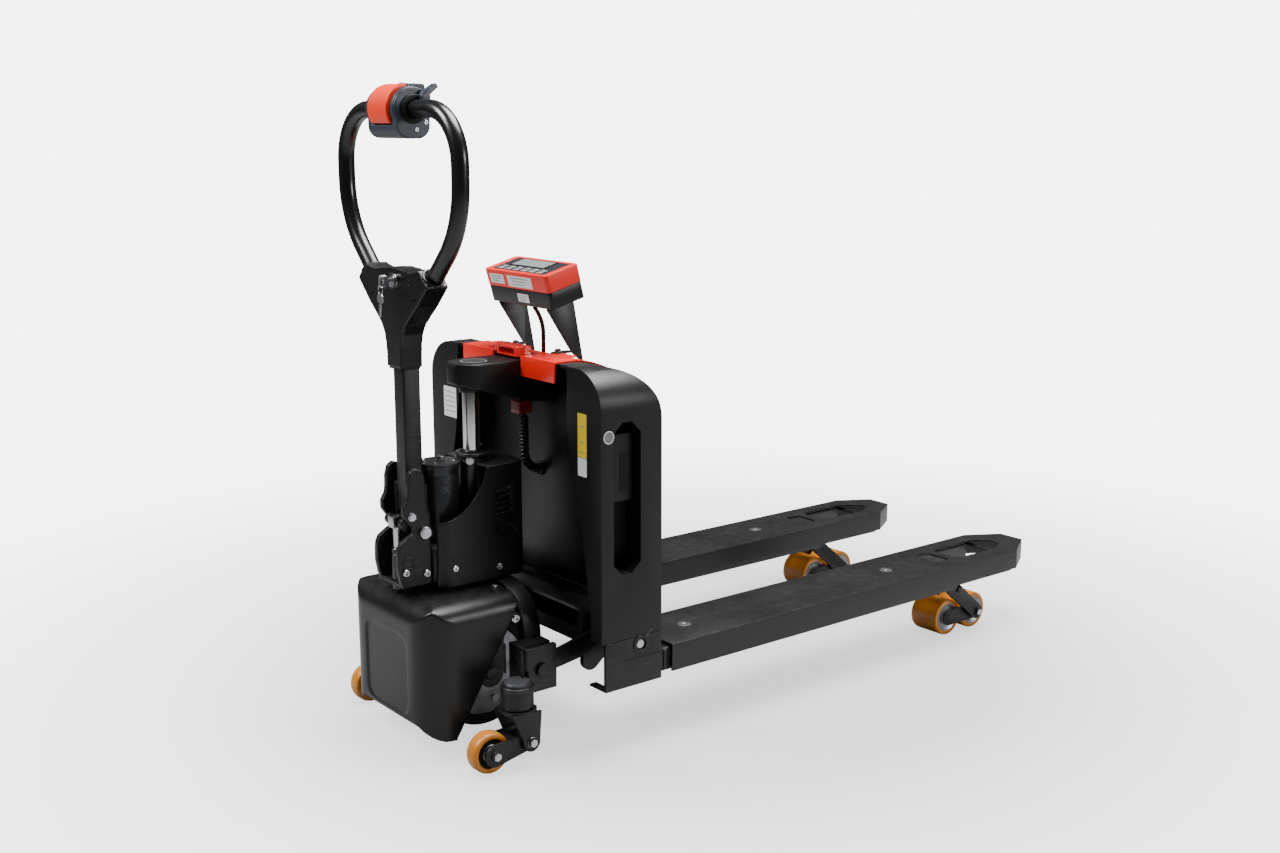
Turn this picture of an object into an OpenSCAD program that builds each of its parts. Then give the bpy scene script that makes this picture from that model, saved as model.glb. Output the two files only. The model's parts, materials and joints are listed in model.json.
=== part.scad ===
// Powered pallet truck with weighing forks. Millimetres, +Z up, floor at z = 0.
// Inside this file X runs from the tiller (-) to the fork tips (+) with x = 0 at the
// load face of the body; place() moves the whole truck so its box is centred on the origin.

/* [Forks] */
// Overall width across both forks
forks_w = 560; // [520:10:600]
// Width of one fork
fork_w = 150; // [148:1:152]
// Distance from the load face to the fork tips
fork_l = 1100; // [1080:10:1150]
// Height of the fork tops, raised
fork_h = 172; // [172:1:176]
// Lift stroke
lift = 84; // [70:1:84]
// Sheet thickness of forks and shells
sheet = 4; // [3:0.5:4]
// Depth of the weighing shell's side walls
shell_depth = 52; // [48:1:54]

/* [Load rollers] */
// Diameter of a load roller
roller_d = 80; // [76:1:80]
// Width of a load roller
roller_w = 70; // [60:1:70]
// Distance between the two rollers of a pair
roller_pitch = 84; // [84:1:88]
// X of the outer roller of each pair, raised
roller_x = 928; // [920:1:930]

/* [Body] */
// Front face of the body's side wings
wing_front = -135; // [-140:1:-130]
// Top of the body
body_top = 690; // [680:1:700]
// Bottom of the side housings
wing_bottom = 205; // [200:1:210]
// Inner face of the side housings
wing_inner = 180; // [178:1:185]
// Radius of the rounded rear top edge
hood_r = 95; // [85:1:100]
// Wall of the side housings
wing_wall = 3; // [2:0.5:4]

/* [Drive end] */
// X of the steering and ram axis
steer_x = -220; // [-222:1:-218]
// Diameter of the drive wheel
drive_d = 210; // [200:1:210]
// Width of the drive wheel
drive_w = 70; // [60:1:70]
// Front of the drive cover
cover_front = -410; // [-415:1:-405]
// Radius of the ram
ram_r = 15.5; // [14:0.5:16]
// Diameter of a side caster wheel
caster_d = 74; // [70:1:76]
// X and Y of a caster's swivel axis
caster_x = -270; // [-272:1:-268]
caster_y = 212; // [210:1:214]

/* [Tiller] */
// X and Z of the tiller pivot
pivot_x = -350; // [-352:1:-348]
pivot_z = 398; // [396:1:400]
// Width of the square tiller tube
tiller_w = 35; // [32:1:36]
// Half width of the handle loop, to the tube's centre
loop_half = 194; // [185:1:200]
// Height of the loop's top tube
loop_top = 1130; // [1120:1:1140]
// Radius of the loop's tube
loop_r = 15; // [14:0.5:15]

/* [Weigh indicator] */
// Tilt of the indicator towards the operator
indicator_tilt = 15; // [10:1:20]
// Width of the indicator
indicator_w = 200; // [190:1:210]

/* [Hidden] */
$fn = 64;
fork_y = (forks_w - fork_w) / 2;
half = forks_w / 2;
frame_mid = (fork_l + cover_front) / 2;
fit = 0.05;             // radial clearance of a running fit
weld = 0.3;             // gap between neighbouring parts
flush = 0.05;           // how far a link's straight sides lie inside its round ends

// Roller arm pivot, outer roller axle, push rod pin on the arm
arm_pivot = [824, 126];
axle_z = roller_d / 2;
outer_axle = [roller_x, axle_z];
inner_axle = [roller_x - roller_pitch, axle_z];
rod_pin_arm = [831.3, 146.8];
arm_mark = [859, 106];
// Bell crank pivot, saddle pin and push rod pin on the crank
crank_pivot = [-48, 189];
saddle_pin = [-213, 157];
rod_pin_crank = [-40.7, 160.2];
rod_y = fork_y + 28;
rod_z = 140;
// Weighing: places of the load cells along each fork
cell_xs = [117, 678];

// Gas spring pin on the tiller, and gas spring axis
gas_pin = [-378, 414];
gas_x = -377.5;
gas_top = 366;
gas_r = 12.5;
motor_x = -290;
block_top = 366;

// ---- helpers -------------------------------------------------------------

// Moves the truck so that its box is centred in X and Y
module place() translate([-frame_mid, 0, 0]) children();

// Left side as drawn, right side mirrored
module on_side(s) {
    if (s > 0) children();
    else mirror([0, 1, 0]) children();
}

// Extrudes an X-Z outline between two Y positions
module slab(y0, y1) translate([0, y1, 0]) rotate([90, 0, 0]) linear_extrude(y1 - y0) children();

// Extrudes a Y-Z outline between two X positions
module wall(x0, x1) translate([x0, 0, 0]) rotate([90, 0, 90]) linear_extrude(x1 - x0) children();

// Extrudes an X-Y outline between two heights
module plan(z0, z1) translate([0, 0, z0]) linear_extrude(z1 - z0) children();

// Round bar along Y through an X-Z point
module bar_y(p, r, y0, y1) translate([p[0], y1, p[1]]) rotate([90, 0, 0]) cylinder(r = r, h = y1 - y0);

// Upright round bar
module post(x, y, r, z0, z1) translate([x, y, z0]) cylinder(r = r, h = z1 - z0);

// Box between two corners
module box(a, b) translate(a) cube([b[0] - a[0], b[1] - a[1], b[2] - a[2]]);

// Rounded rectangle
module rrect(x0, x1, y0, y1, r) {
    translate([x0 + r, y0]) square([x1 - x0 - 2 * r, y1 - y0]);
    translate([x0, y0 + r]) square([x1 - x0, y1 - y0 - 2 * r]);
    for (x = [x0 + r, x1 - r], y = [y0 + r, y1 - r]) translate([x, y]) circle(r = r);
}

// Flat link outline between two round ends
module link(a, b, ra, rb) {
    d = norm(b - a);
    dir = atan2(b[1] - a[1], b[0] - a[0]);
    open = acos((ra - rb) / d);
    left = [cos(dir + open), sin(dir + open)];
    right = [cos(dir - open), sin(dir - open)];
    ia = ra - flush;
    ib = rb - flush;
    translate(a) circle(r = ra);
    translate(b) circle(r = rb);
    polygon([a + ia * left, b + ib * left, b + ib * right, a + ia * right]);
}

// Round tube bent in the Y-Z plane: centre, bend radius, start and sweep angle
module bend_yz(x, c, bend, r, a0, sweep)
    translate([x, c[0], c[1]]) rotate([90, 0, 90]) rotate([0, 0, a0])
        rotate_extrude(angle = sweep) translate([bend, 0]) circle(r = r);

// Round tube bent in the X-Z plane
module bend_xz(y, c, bend, r, a0, sweep)
    translate([c[0], y, c[1]]) rotate([90, 0, 0]) rotate([0, 0, a0])
        rotate_extrude(angle = sweep) translate([bend, 0]) circle(r = r);

// ---- drive end, fixed part -----------------------------------------------

module arch_outline(t) {
    w = 158 - t;
    r = 90 - t;
    translate([-w, 100]) square([2 * w, 100]);
    translate([-68, 150]) square([136, 140 - t]);
    for (y = [-68, 68]) translate([y, 200]) circle(r = r);
}

// Bridge over the drive wheel with the steering bearing, clevis ears and link pins
module saddle() place() color("#1b1c1d") {
    difference() {
        union() {
            wall(-216, -181) difference() {
                arch_outline(0);
                arch_outline(22);
                translate([-200, 90]) square([400, 42]);
            }
            post(steer_x, 0, 52, 262, 290);
            for (s = [-1, 1]) on_side(s) {
                box([-245, 150, 118], [-181, 206, 200]);
                box([-262, 186, 108], [-233, 206, 142]);
            }
        }
        post(steer_x, 0, 30 + fit, 250, 300);
        for (s = [-1, 1]) on_side(s) {
            box([-238, 186, 124], [-170, 196, 210]);
            bar_y(saddle_pin, 8 + fit, 170, 210);
            post(caster_x, caster_y, 29 + weld, 90, 160);
        }
    }
    for (s = [-1, 1]) on_side(s) {
        bar_y(saddle_pin, 8, 172, 208);
        bar_y(saddle_pin, 12, 208, 212);
    }
}

module cover_side(t) rrect(cover_front + t, -180, 40 + (t > 0 ? -30 : 0), 285 - t, 42 - t);
module cover_plan(t) rrect(cover_front + t, -150, -147 + t, 147 - t, 62 - t);
module cover_end(t) rrect(-147 + t, 147 - t, -60, 285 - t, 38 - t);

// Moulded cover in front of and around the drive wheel
module drive_cover() place() color("#161718") difference() {
    intersection() {
        slab(-150, 150) cover_side(0);
        plan(30, 300) cover_plan(0);
        wall(cover_front - 5, -140) cover_end(0);
    }
    intersection() {
        slab(-160, 160) cover_side(sheet);
        plan(0, 310) cover_plan(sheet);
        wall(cover_front - 5, -140) cover_end(sheet);
    }
    box([-217, -160, 0], [-100, 160, 310]);
    slab(-160, 160) polygon([[-352, 0], [-352, 44], [-216, 268], [-216, 0]]);
    post(steer_x, 0, 54, 250, 300);
}

// Cups welded beside the saddle that hold the caster swivels
module caster_housings() place() color("#1b1c1d") for (s = [-1, 1]) on_side(s) difference() {
    union() {
        post(caster_x, caster_y, 29, 105, 144);
        post(caster_x, caster_y, 26, 144, 150);
    }
    post(caster_x, caster_y, 10 + fit, 100, 140);
}

// ---- side casters ----------------------------------------------------------

caster_pivot = [-262, 46];
caster_axle = [-333, caster_d / 2];

// Swivelling fork with its stem and the swing arm's bolt
module caster_yoke(s) place() color("#202122") on_side(s) {
    post(caster_x, caster_y, 10, 97, 138);
    difference() {
        union() {
            plan(97, 103) intersection() {
                translate([caster_x, caster_y]) circle(r = 34);
                translate([caster_x - 31, caster_y - 33]) square([62, 66]);
            }
            for (y = [caster_y - 33, caster_y + 27]) slab(y, y + 6) {
                link([-262, 46], [-262, 60], 17, 17);
                polygon([[-300, 100], [-241, 100], [-245, 50], [-279, 50]]);
            }
        }
        bar_y(caster_pivot, 6 + fit, caster_y - 40, caster_y + 40);
    }
    bar_y(caster_pivot, 6, caster_y - 38, caster_y + 38);
    bar_y(caster_pivot, 9, caster_y + 33, caster_y + 38);
}

// Swing arm that carries the caster wheel, with its axle bolt
module caster_arm(s) place() color("#202122") on_side(s) {
    difference() {
        for (y = [caster_y - 26.5, caster_y + 20.5]) slab(y, y + 6)
            link(caster_pivot, caster_axle, 15, 20);
        bar_y(caster_pivot, 6 + fit, caster_y - 40, caster_y + 40);
        bar_y(caster_axle, 6 + fit, caster_y - 40, caster_y + 40);
    }
    bar_y(caster_axle, 6, caster_y - 31, caster_y + 31);
    bar_y(caster_axle, 10, caster_y + 26.5, caster_y + 31.5);
}

module caster_wheel(s) place() color("#c8871e") on_side(s) difference() {
    union() {
        bar_y(caster_axle, caster_d / 2, caster_y - 14, caster_y + 14);
        bar_y(caster_axle, 14, caster_y - 19, caster_y + 19);
    }
    bar_y(caster_axle, 6 + fit, caster_y - 25, caster_y + 25);
}

// ---- drive wheel and steered power unit --------------------------------------

wheel_axle = [steer_x, drive_d / 2];

module drive_tyre() place() color("#2a2a2a") difference() {
    bar_y(wheel_axle, drive_d / 2, -drive_w / 2, drive_w / 2);
    bar_y(wheel_axle, drive_d / 2 - 20, -drive_w, drive_w);
}

module drive_hub() place() color("#8e9296") difference() {
    union() {
        bar_y(wheel_axle, drive_d / 2 - 20, -30, 30);
        bar_y(wheel_axle, 40, -38, 38);
    }
    bar_y(wheel_axle, 12 + fit, -50, 50);
}

// Steered fork: axle, cheeks, crown, neck through the saddle and its collar
module drive_fork() place() color("#303234") {
    difference() {
        union() {
            for (y = [-52, 42]) slab(y, y + 10) link(wheel_axle, [steer_x, 222], 26, 30);
            box([steer_x - 30, -52, 218], [steer_x + 30, 52, 240]);
        }
        box([-400, -41.9, 150], [-100, 41.9, 218]);
        bar_y(wheel_axle, 12 + fit, -60, 60);
    }
    post(steer_x, 0, 30, 240, 291);
    post(steer_x, 0, 48, 291, 302);
    bar_y(wheel_axle, 12, -56, 56);
}

module pump_block() place() color("#26282a") difference() {
    plan(302, block_top) rrect(-335, -165, -52, 52, 8);
    post(motor_x, 0, 20, block_top - 5, block_top + 1);
}

module lift_cylinder() place() color("#2c2e30") difference() {
    union() {
        post(steer_x, 0, 27, block_top, 501);
        post(steer_x, 0, 31, 501, 520);
    }
    post(steer_x, 0, ram_r + fit, block_top + 6, 530);
}

// Pump motor with its lid and bleed screw
module motor() place() color("#232527") {
    post(motor_x, 0, 19, block_top - 5, block_top);
    post(motor_x, 0, 36, block_top, 481);
    post(motor_x, 0, 35, 481, 484);
    post(motor_x, 0, 36, 484, 490);
    post(motor_x, 0, 35, 490, 493);
    post(motor_x, 0, 36, 493, 507);
    post(motor_x, 0, 38.5, 507, 512);
    post(motor_x, 0, 5, 512, 522);
}

module pump_cover_body(t) plan(294 - (t > 0 ? 10 : 0), 505 - t) rrect(-332 + t, -148 - t, -72 + t, 72 - t, 26 - t);

// Moulded cover around the pump, open at the front, with a swept upper edge
module pump_cover() place() color("#151617") difference() {
    pump_cover_body(0);
    pump_cover_body(3);
    bar_y([-345, 524], 112, -80, 80);
    post(steer_x, 0, 32, 480, 510);
    box([-340, -52 - weld, 280], [-320, 52 + weld, 440]);
}

// Cast bracket: two cheeks on a back plate
module tiller_bracket() place() color("#1b1c1d") difference() {
    union() {
        for (y = [-44, 32]) slab(y, y + 12)
            polygon([[-335.2, 300], [-335.2, 425], [-342, 440], [-345, 500], [-352, 511], [-364, 515],
                [-374, 508], [-379, 490], [-380, 462], [-389, 446], [-389, 432], [-381, 420],
                [-371, 407], [-372, 398], [-396, 383], [-402, 370], [-403, 338], [-399, 316], [-394, 300]]);
        box([-345, -44, 300], [-335, 44, 370]);
        box([-394, -44, 300], [-345, 44, 308]);
    }
    bar_y([pivot_x, pivot_z], 8 + fit, -60, 60);
    post(gas_x, 0, gas_r + weld, 280, 320);
}

module pivot_bolt() place() color("#c9ccd0") {
    bar_y([pivot_x, pivot_z], 8, -48, 48);
    bar_y([pivot_x, pivot_z], 11, -52, -44.1);
    bar_y([pivot_x, pivot_z], 11, 44.1, 52);
}

module gas_cylinder() place() color("#161718") difference() {
    post(gas_x, 0, gas_r, 290, gas_top);
    post(gas_x, 0, 9 + fit, 292, gas_top + 1);
}

// Gas spring rod with its clevis and a slotted eye around the tiller's pin
module gas_rod() place() color("#d5d7da") {
    difference() {
        union() {
            post(gas_x, 0, 9, 332.5, 406);
            box([gas_x - 14, -9, 404], [gas_x + 14, 9, 424]);
        }
        slab(-12, 12) rrect(gas_x - 10.4, gas_x + 10.4, gas_pin[1] - 6.4, gas_pin[1] + 6.4, 6.3);
    }
}

// ---- tiller ------------------------------------------------------------------

// Square tube with pivot lugs and the gas spring's cross pin
module tiller_tube() place() color("#1a1b1c") difference() {
    union() {
        difference() {
            plan(432, 790) rrect(pivot_x - tiller_w / 2, pivot_x + tiller_w / 2, -tiller_w / 2, tiller_w / 2, 4);
            plan(428, 800) rrect(pivot_x - 14.5, pivot_x + 14.5, -14.5, 14.5, 2);
        }
        for (y = [-29.5, 17.5]) slab(y, y + 12) {
            link([pivot_x, pivot_z], gas_pin, 18, 10);
            polygon([[pivot_x - 17.5, 398], [pivot_x + 17.5, 398], [pivot_x + 17.5, 480], [pivot_x - 17.5, 480]]);
        }
        bar_y(gas_pin, 5, -29.5, 29.5);
    }
    bar_y([pivot_x, pivot_z], 8 + fit, -40, 40);
}

// Half outline of the forked cover: foot, flare, socket rim and crown
cover_half = [[24, 690], [26, 728], [31, 748], [41, 764], [56, 778], [84, 801.7], [119.6, 837.4],
    [91.4, 865.6], [84, 862.5], [60, 858], [30, 862], [0, 864]];
function mirrored(p) = concat(p, [for (i = [len(p) - 2:-1:0]) [-p[i][0], p[i][1]]]);

// Straight lower ends of the loop, leaning outwards
loop_bend = 170;
loop_lean = 45;
bend_start = [loop_half - loop_bend + loop_bend * cos(loop_lean), 1010 - loop_bend * sin(loop_lean)];
loop_foot = 815;
foot_len = (bend_start[1] - loop_foot) / cos(loop_lean);
corner_r = 90;

module loop_leg(r, extra) translate([pivot_x, bend_start[0], bend_start[1]]) rotate([-loop_lean, 0, 0])
    translate([0, 0, -foot_len - extra]) cylinder(r = r, h = foot_len + extra);

module y_cover() place() color("#1c1d1e") difference() {
    wall(-374.5, -331.5) polygon(mirrored(cover_half));
    plan(680, 791) translate([pivot_x, 0]) square(tiller_w + 0.4, center = true);
    for (s = [-1, 1]) on_side(s) loop_leg(loop_r + 0.1, 1);
}

// Bent tube handle, drawn a little thinner in its bends
bend_r = loop_r - 0.3;
module handle_loop() place() color("#141516") {
    for (s = [-1, 1]) on_side(s) {
        loop_leg(loop_r, 0);
        bend_yz(pivot_x, [loop_half - loop_bend, 1010], loop_bend, bend_r, -loop_lean - 1, loop_lean + 2);
        post(pivot_x, loop_half, loop_r, 1010, loop_top - corner_r);
        bend_yz(pivot_x, [loop_half - corner_r, loop_top - corner_r], corner_r, bend_r, -2, 94);
    }
    bar_y([pivot_x, loop_top], loop_r, -(loop_half - corner_r), loop_half - corner_r);
}

head_r = 36;
throttle_axis = [-334, 1149];
rocker_axis = [-330, 1163];

// Control head around the top tube
module head_housing() place() color("#4a5460") difference() {
    union() {
        bar_y([pivot_x, loop_top], head_r, -50, 50);
        slab(-50, 50) rrect(-382, -318, 1081, 1130, 22);
        slab(-30, 30) rrect(-346, -314, 1130, 1172, 6);
    }
    bar_y([pivot_x, loop_top], loop_r + 0.1, -60, 60);
    slab(-33.5, 33.5) difference() {
        translate([-400, 1104]) square([53.5, 80]);
        translate([pivot_x, loop_top]) circle(r = 25);
    }
    bar_y(throttle_axis, 4 + fit, -60, 60);
    for (s = [-1, 1]) on_side(s) bar_y(throttle_axis, 9, 44, 60);
    box([-340, -12, 1158], [-320, 12, 1180]);
    bar_y(rocker_axis, 1.5 + fit, -14.1, 14.1);
    post(-330, 21, 5 + fit, 1160, 1180);
}

// Safety reverse button that wraps the front of the head
module belly_button() place() color("#f0502a") slab(-32.5, 32.5) difference() {
    translate([pivot_x, loop_top]) circle(r = 42);
    translate([pivot_x, loop_top]) circle(r = 33);
    translate([-351, 1060]) square([60, 140]);
    translate([-400, 1060]) square([100, 46]);
}

// Butterfly throttle: two paddles on one shaft
module throttle() place() color("#3f464f") {
    bar_y(throttle_axis, 4, -52, 52);
    for (s = [-1, 1]) on_side(s) {
        bar_y(throttle_axis, 8.7, 51, 66);
        slab(51, 66) polygon([[-336, 1145], [-310, 1166], [-314, 1172], [-340, 1156]]);
    }
}

// Lift and lower rocker in the top of the head
module lift_rocker() place() color("#2b2e33") {
    slab(-11.5, 11.5) polygon([[-338, 1160], [-322, 1160], [-321.5, 1173], [-330, 1171.5], [-338.5, 1173]]);
    bar_y(rocker_axis, 1.5, -14, 14);
}

module horn_button() place() color("#2b2e33") post(-330, 21, 5, 1162, 1174.5);

lock_y = -14;
lock_z = 842;

// Ignition lock in the front of the forked cover
module key_lock() place() color("#c9ccd0") difference() {
    union() {
        translate([-383, lock_y, lock_z]) rotate([0, 90, 0]) cylinder(r = 9, h = 8.4);
        translate([-379, lock_y, lock_z]) rotate([0, 90, 0]) cylinder(r = 12, h = 4.4);
    }
    translate([-384, lock_y, lock_z]) rotate([0, 90, 0]) cylinder(r = 5 + fit, h = 8);
}

// Key in the lock's turning plug
module key() place() color("#b9b4a6") {
    translate([-383, lock_y, lock_z]) rotate([0, 90, 0]) cylinder(r = 5, h = 6.5);
    box([-390, lock_y - 1.2, lock_z - 3.6], [-382, lock_y + 1.2, lock_z + 3.6]);
    slab(lock_y - 1.6, lock_y + 1.6) difference() {
        rrect(-406, -389, lock_z - 11, lock_z + 11, 6);
        translate([-400, lock_z]) circle(r = 2.5);
    }
}

// ---- body ----------------------------------------------------------------------

// Side outline of the body, grown (+) or shrunk (-) by t
module body_side(t, front = wing_front, bottom = wing_bottom) {
    translate([front - t, bottom - t]) square([-front + 2 * t, body_top - hood_r - bottom + t]);
    translate([front - t, bottom - t]) square([-hood_r - front + t, body_top - bottom + 2 * t]);
    intersection() {
        translate([-hood_r, body_top - hood_r]) circle(r = hood_r + t);
        translate([-hood_r, body_top - hood_r]) square(2 * hood_r);
    }
}

shoulder_r = 70;

// End outline of the body with rounded shoulders
module body_end(t) {
    w = half + t;
    translate([0, wing_bottom - t]) square([w, body_top - shoulder_r - wing_bottom + t]);
    translate([0, wing_bottom - t]) square([half - shoulder_r, body_top - wing_bottom + 2 * t]);
    translate([half - shoulder_r, body_top - shoulder_r]) circle(r = shoulder_r + t);
}

// One side of the body; its front leg narrows towards the floor
module wing(t) difference() {
    intersection() {
        slab(wing_inner - t, half + 10) body_side(t);
        wall(wing_front - 10, 10) body_end(t);
    }
    wall(wing_front - 10, -60 - t) polygon([[170, 190], [246 - t, 190], [246 - t, 255], [222 - t, 404],
        [197 - t, 500], [181 - t, 580], [170, 620]]);
}

pocket = [-108, -48, 325, 600];
pocket_depth = 45;

module pocket_outline(g) {
    c = 20;
    x0 = pocket[0] - g;
    x1 = pocket[1] + g;
    z0 = pocket[2] - g;
    z1 = pocket[3] + g;
    polygon([[x0 + c, z0], [x1 - c, z0], [x1, z0 + c], [x1, z1 - c], [x1 - c, z1], [x0 + c, z1],
        [x0, z1 - c], [x0, z0 + c]]);
}

// Hollow side wing with its storage pocket
module side_housing(s) place() color("#191a1b") on_side(s) difference() {
    union() {
        difference() {
            wing(0);
            wing(-wing_wall);
        }
        slab(half - pocket_depth - 2, half - 1) pocket_outline(2);
    }
    slab(half - pocket_depth, half + 10) pocket_outline(0);
    box([-55, wing_inner - 5, 230], [-10, wing_inner + wing_wall + 5, 590]);
    box([-76, wing_inner - 5, 200], [-20, 229, 219]);
    box([-102 - weld, wing_inner - 5, 238 - weld], [-66 + weld, half - 6 + weld, 262 + weld]);
    box([-102 - weld, half - 30 - weld, 200], [-66 + weld, half - 6 + weld, 240]);
}

// Welded frame: load plate and hood, uprights, cross beams, skirts and shaft bearings
module chassis_frame() place() color("#1a1b1c") difference() {
    union() {
        intersection() {
            slab(-wing_inner + weld, wing_inner - weld) difference() {
                body_side(0, wing_front, 150);
                body_side(-6, wing_front - 20, 100);
            }
            union() {
                box([-59, -200, 100], [1, 200, 700]);
                for (s = [-1, 1]) on_side(s) box([-130, 46, 600], [1, 200, 700]);
            }
        }
        for (s = [-1, 1]) on_side(s) {
            box([-58, 150, 215], [-6, 178, 600]);
            box([-102, 162, 160], [-6, 178, 262]);
            box([-127, half - 6, 114], [0, half, wing_bottom - 1]);
            box([-127, half - 49, 114], [-112, half, 118]);
            box([-102, 178, 238], [-66, half - 6, 262]);
            box([-102, half - 30, 190], [-66, half - 6, 262]);
        }
        box([-102, -162, 238], [-66, 162, 262]);
        box([-102, -162, 172], [-66, 162, 200]);
    }
    bar_y(crank_pivot, 11 + fit, -300, 300);
    for (s = [-1, 1]) on_side(s) box([-140, half - 70, wing_bottom - 1], [10, half + 1, wing_bottom + 0.5]);
}

// Pressed front panel
module front_panel() place() color("#1b1c1d") difference() {
    box([-63, -wing_inner + weld, 263], [-60, wing_inner - weld, 676.5]);
    wall(-62, -59) difference() {
        rrect(-120, 120, 310, 500, 26);
        rrect(-116, 116, 314, 496, 22);
    }
}

// Arm that carries the frame on the ram
module top_arm() place() color("#202122") difference() {
    intersection() {
        slab(-50, 50) polygon([[-262, 648], [-262, 678], [-255, 685], [-63.2, 685], [-63.2, 598], [-120, 606]]);
        plan(590, 700) {
            translate([steer_x, 0]) circle(r = 42);
            translate([steer_x, -42]) square([-63.2 - steer_x, 84]);
        }
    }
    post(steer_x, 0, ram_r + fit, 630, 672);
    post(steer_x, 0, 21 + weld, 600, 640 + weld);
    for (y = [-20, 20]) post(-127, y, 5 + fit, 640, 700);
}

module ram() place() color("#e2e5e8") {
    post(steer_x, 0, ram_r, 456, 671.5);
    post(steer_x, 0, 21, 630, 640);
}

// ---- forks ---------------------------------------------------------------------

shell_start = 26;
nose_x = fork_l - 75;

module shell_plan(t) polygon([[shell_start - 1, -fork_w / 2 + t], [nose_x, -fork_w / 2 + t],
    [fork_l - t * 1.4, -30 + t * 0.4], [fork_l - t * 1.4, 30 - t * 0.4], [nose_x, fork_w / 2 - t],
    [shell_start - 1, fork_w / 2 - t]]);

module tip_window() polygon([[866, -26], [878, -38], [1002, -38], [1036, -16], [1036, 16],
    [1002, 38], [878, 38], [866, 26]]);

// Outer fork shell that rests on the load cells
module weigh_shell(s) place() color("#1d1e1f") on_side(s) translate([0, fork_y, 0]) difference() {
    plan(fork_h - shell_depth, fork_h) shell_plan(0);
    plan(0, fork_h - sheet) shell_plan(sheet);
    box([0, -80, 100], [shell_start, 80, 200]);
    plan(160, 180) {
        tip_window();
        rrect(806, 846, -32, 32, 8);
    }
    box([812, -80, 100], [925, 80, fork_h - shell_depth + 12]);
    box([925, -80, 100], [fork_l + 1, 80, fork_h - shell_depth + 8]);
    for (x = cell_xs) {
        post(x, 0, 14 + weld, fork_h - 2, fork_h + 1);
        post(x, 0, 6 + weld, 160, 180);
    }
}

// Inner fork beams with the roller arm shafts
module fork_beams() place() color("#1a1b1c") for (s = [-1, 1]) on_side(s) translate([0, fork_y, 0]) {
    difference() {
        union() {
            box([0, -66, 122], [1018, 66, 160]);
            for (y = [-66, 58]) slab(y, y + 8) translate(arm_pivot) circle(r = 14);
        }
        box([-1, -62, 100], [1019, 62, 156]);
        box([800, -51, 150], [1006, 51, 170]);
        bar_y(arm_pivot, 8 + fit, -70, 70);
        for (x = cell_xs) post(x, 0, 17, 150, 170);
    }
    bar_y(arm_pivot, 8, -66, 66);
}

module load_cells() place() color("#b9bdc1") for (s = [-1, 1], x = cell_xs) on_side(s) translate([0, fork_y, 0])
    difference() {
        union() {
            box([x - 75, -14, 138], [x + 18, 14, 155.8]);
            post(x, 0, 15, 150, fork_h - sheet - 0.1);
        }
        post(x, 0, 6 + fit, 150, 180);
    }

// Washer-head screws through the shells into the load cells
module shell_screws() place() color("#c3c6c9") for (s = [-1, 1], x = cell_xs) on_side(s) translate([0, fork_y, 0])
    difference() {
        union() {
            post(x, 0, 6, 152, fork_h - 1);
            post(x, 0, 14, fork_h - 2, fork_h - 0.4);
        }
        translate([x, 0, fork_h - 6]) cylinder(r = 4, h = 10, $fn = 6);
    }

// ---- battery, lid, indicator, leads ------------------------------------------------

module battery_pack() place() color("#202428") box([-52, -140, 330], [-12, 140, 625]);

lid_gap = 0.3;
lid_t = 3.2;

// Red lid saddled over the body, with a front lip on both sides of the arm
module battery_lid() place() color("#e5261c") intersection() {
    slab(-210, 210) difference() {
        body_side(lid_gap + lid_t, -137);
        body_side(lid_gap, -137);
        translate([-200, 100]) square([185, 556]);
        translate([-60, 100]) square([100, 545]);
    }
    difference() {
        plan(600, 720) polygon([[-150, -150], [-95, -152], [-60, -168], [-8, -205], [10, -205],
            [10, 205], [-8, 205], [-60, 168], [-95, 152], [-150, 150]]);
        box([-150, -45, 600], [-109, 45, 720]);
        post(-58, 0, 5, 600, 720);
    }
}

// Pull handle of the emergency disconnect, on two guide stems
module emergency_handle() place() color("#e5261c") {
    for (y = [-20, 20]) post(-127, y, 5, 648, 690);
    difference() {
        plan(688, 708) intersection() {
            rrect(-141, -100, -42, 42, 14);
            translate([-141, -42]) square([28, 84]);
        }
        box([-142, -24, 692], [-122, 24, 702]);
    }
}

// Places children in the tilted frame of the indicator, origin at the seam's centre
module at_indicator() translate([-77, 0, 818]) rotate([0, -indicator_tilt, 0]) children();

module indicator_outline(t) rrect(-38 + t, 38 - t, -indicator_w / 2 + t, indicator_w / 2 - t, 7 - t);

module indicator_base() place() color("#1b1c1d") at_indicator() difference() {
    plan(-32, -0.2) indicator_outline(1);
    plan(-29, 1) indicator_outline(4);
}

module indicator_cover() place() color("#ee3a24") at_indicator() difference() {
    plan(0, 32) indicator_outline(0);
    plan(-1, 29) indicator_outline(3);
    plan(31, 33) rrect(-30, 31, -84, 84, 4);
}

// Bent plates that carry the indicator, and their screws
module indicator_brackets() place() for (s = [-1, 1]) on_side(s) {
    color("#161718") difference() {
        union() {
            slab(76, 80) polygon([[-104.5, 777], [-46, 792.7], [-24, 672], [-50, 694]]);
            box([-86, 62, 694], [-48, 80, 697]);
        }
        post(-74, 69, 3 + fit, 690, 700);
    }
    color("#c3c6c9") {
        post(-74, 69, 3, 694, 697);
        post(-74, 69, 6, 697.05, 701);
    }
}

// Indicator cable, from the indicator's floor into the lid
module indicator_cable() place() color("#121212") {
    post(-58, 0, 4, 684, 720);
    bend_xz(0, [-138, 720], 80, 4, 0, 41);
}

module lead_plug() place() color("#7c1a1e") {
    box([-119, -6, 576], [-89, 22, 600]);
    slab(0, 16) polygon([[-113, 599], [-95, 599], [-95, 602.2], [-113, 604.7]]);
}

// Coiled lead as its outer envelope, from the plug into the front panel
module coiled_lead() place() color("#141414") {
    post(-100, 8, 10, 500, 575.8);
    bend_xz(8, [-63.3, 500], 36.7, 10, 180, 90);
}

// ---- lift linkage --------------------------------------------------------------------

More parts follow.
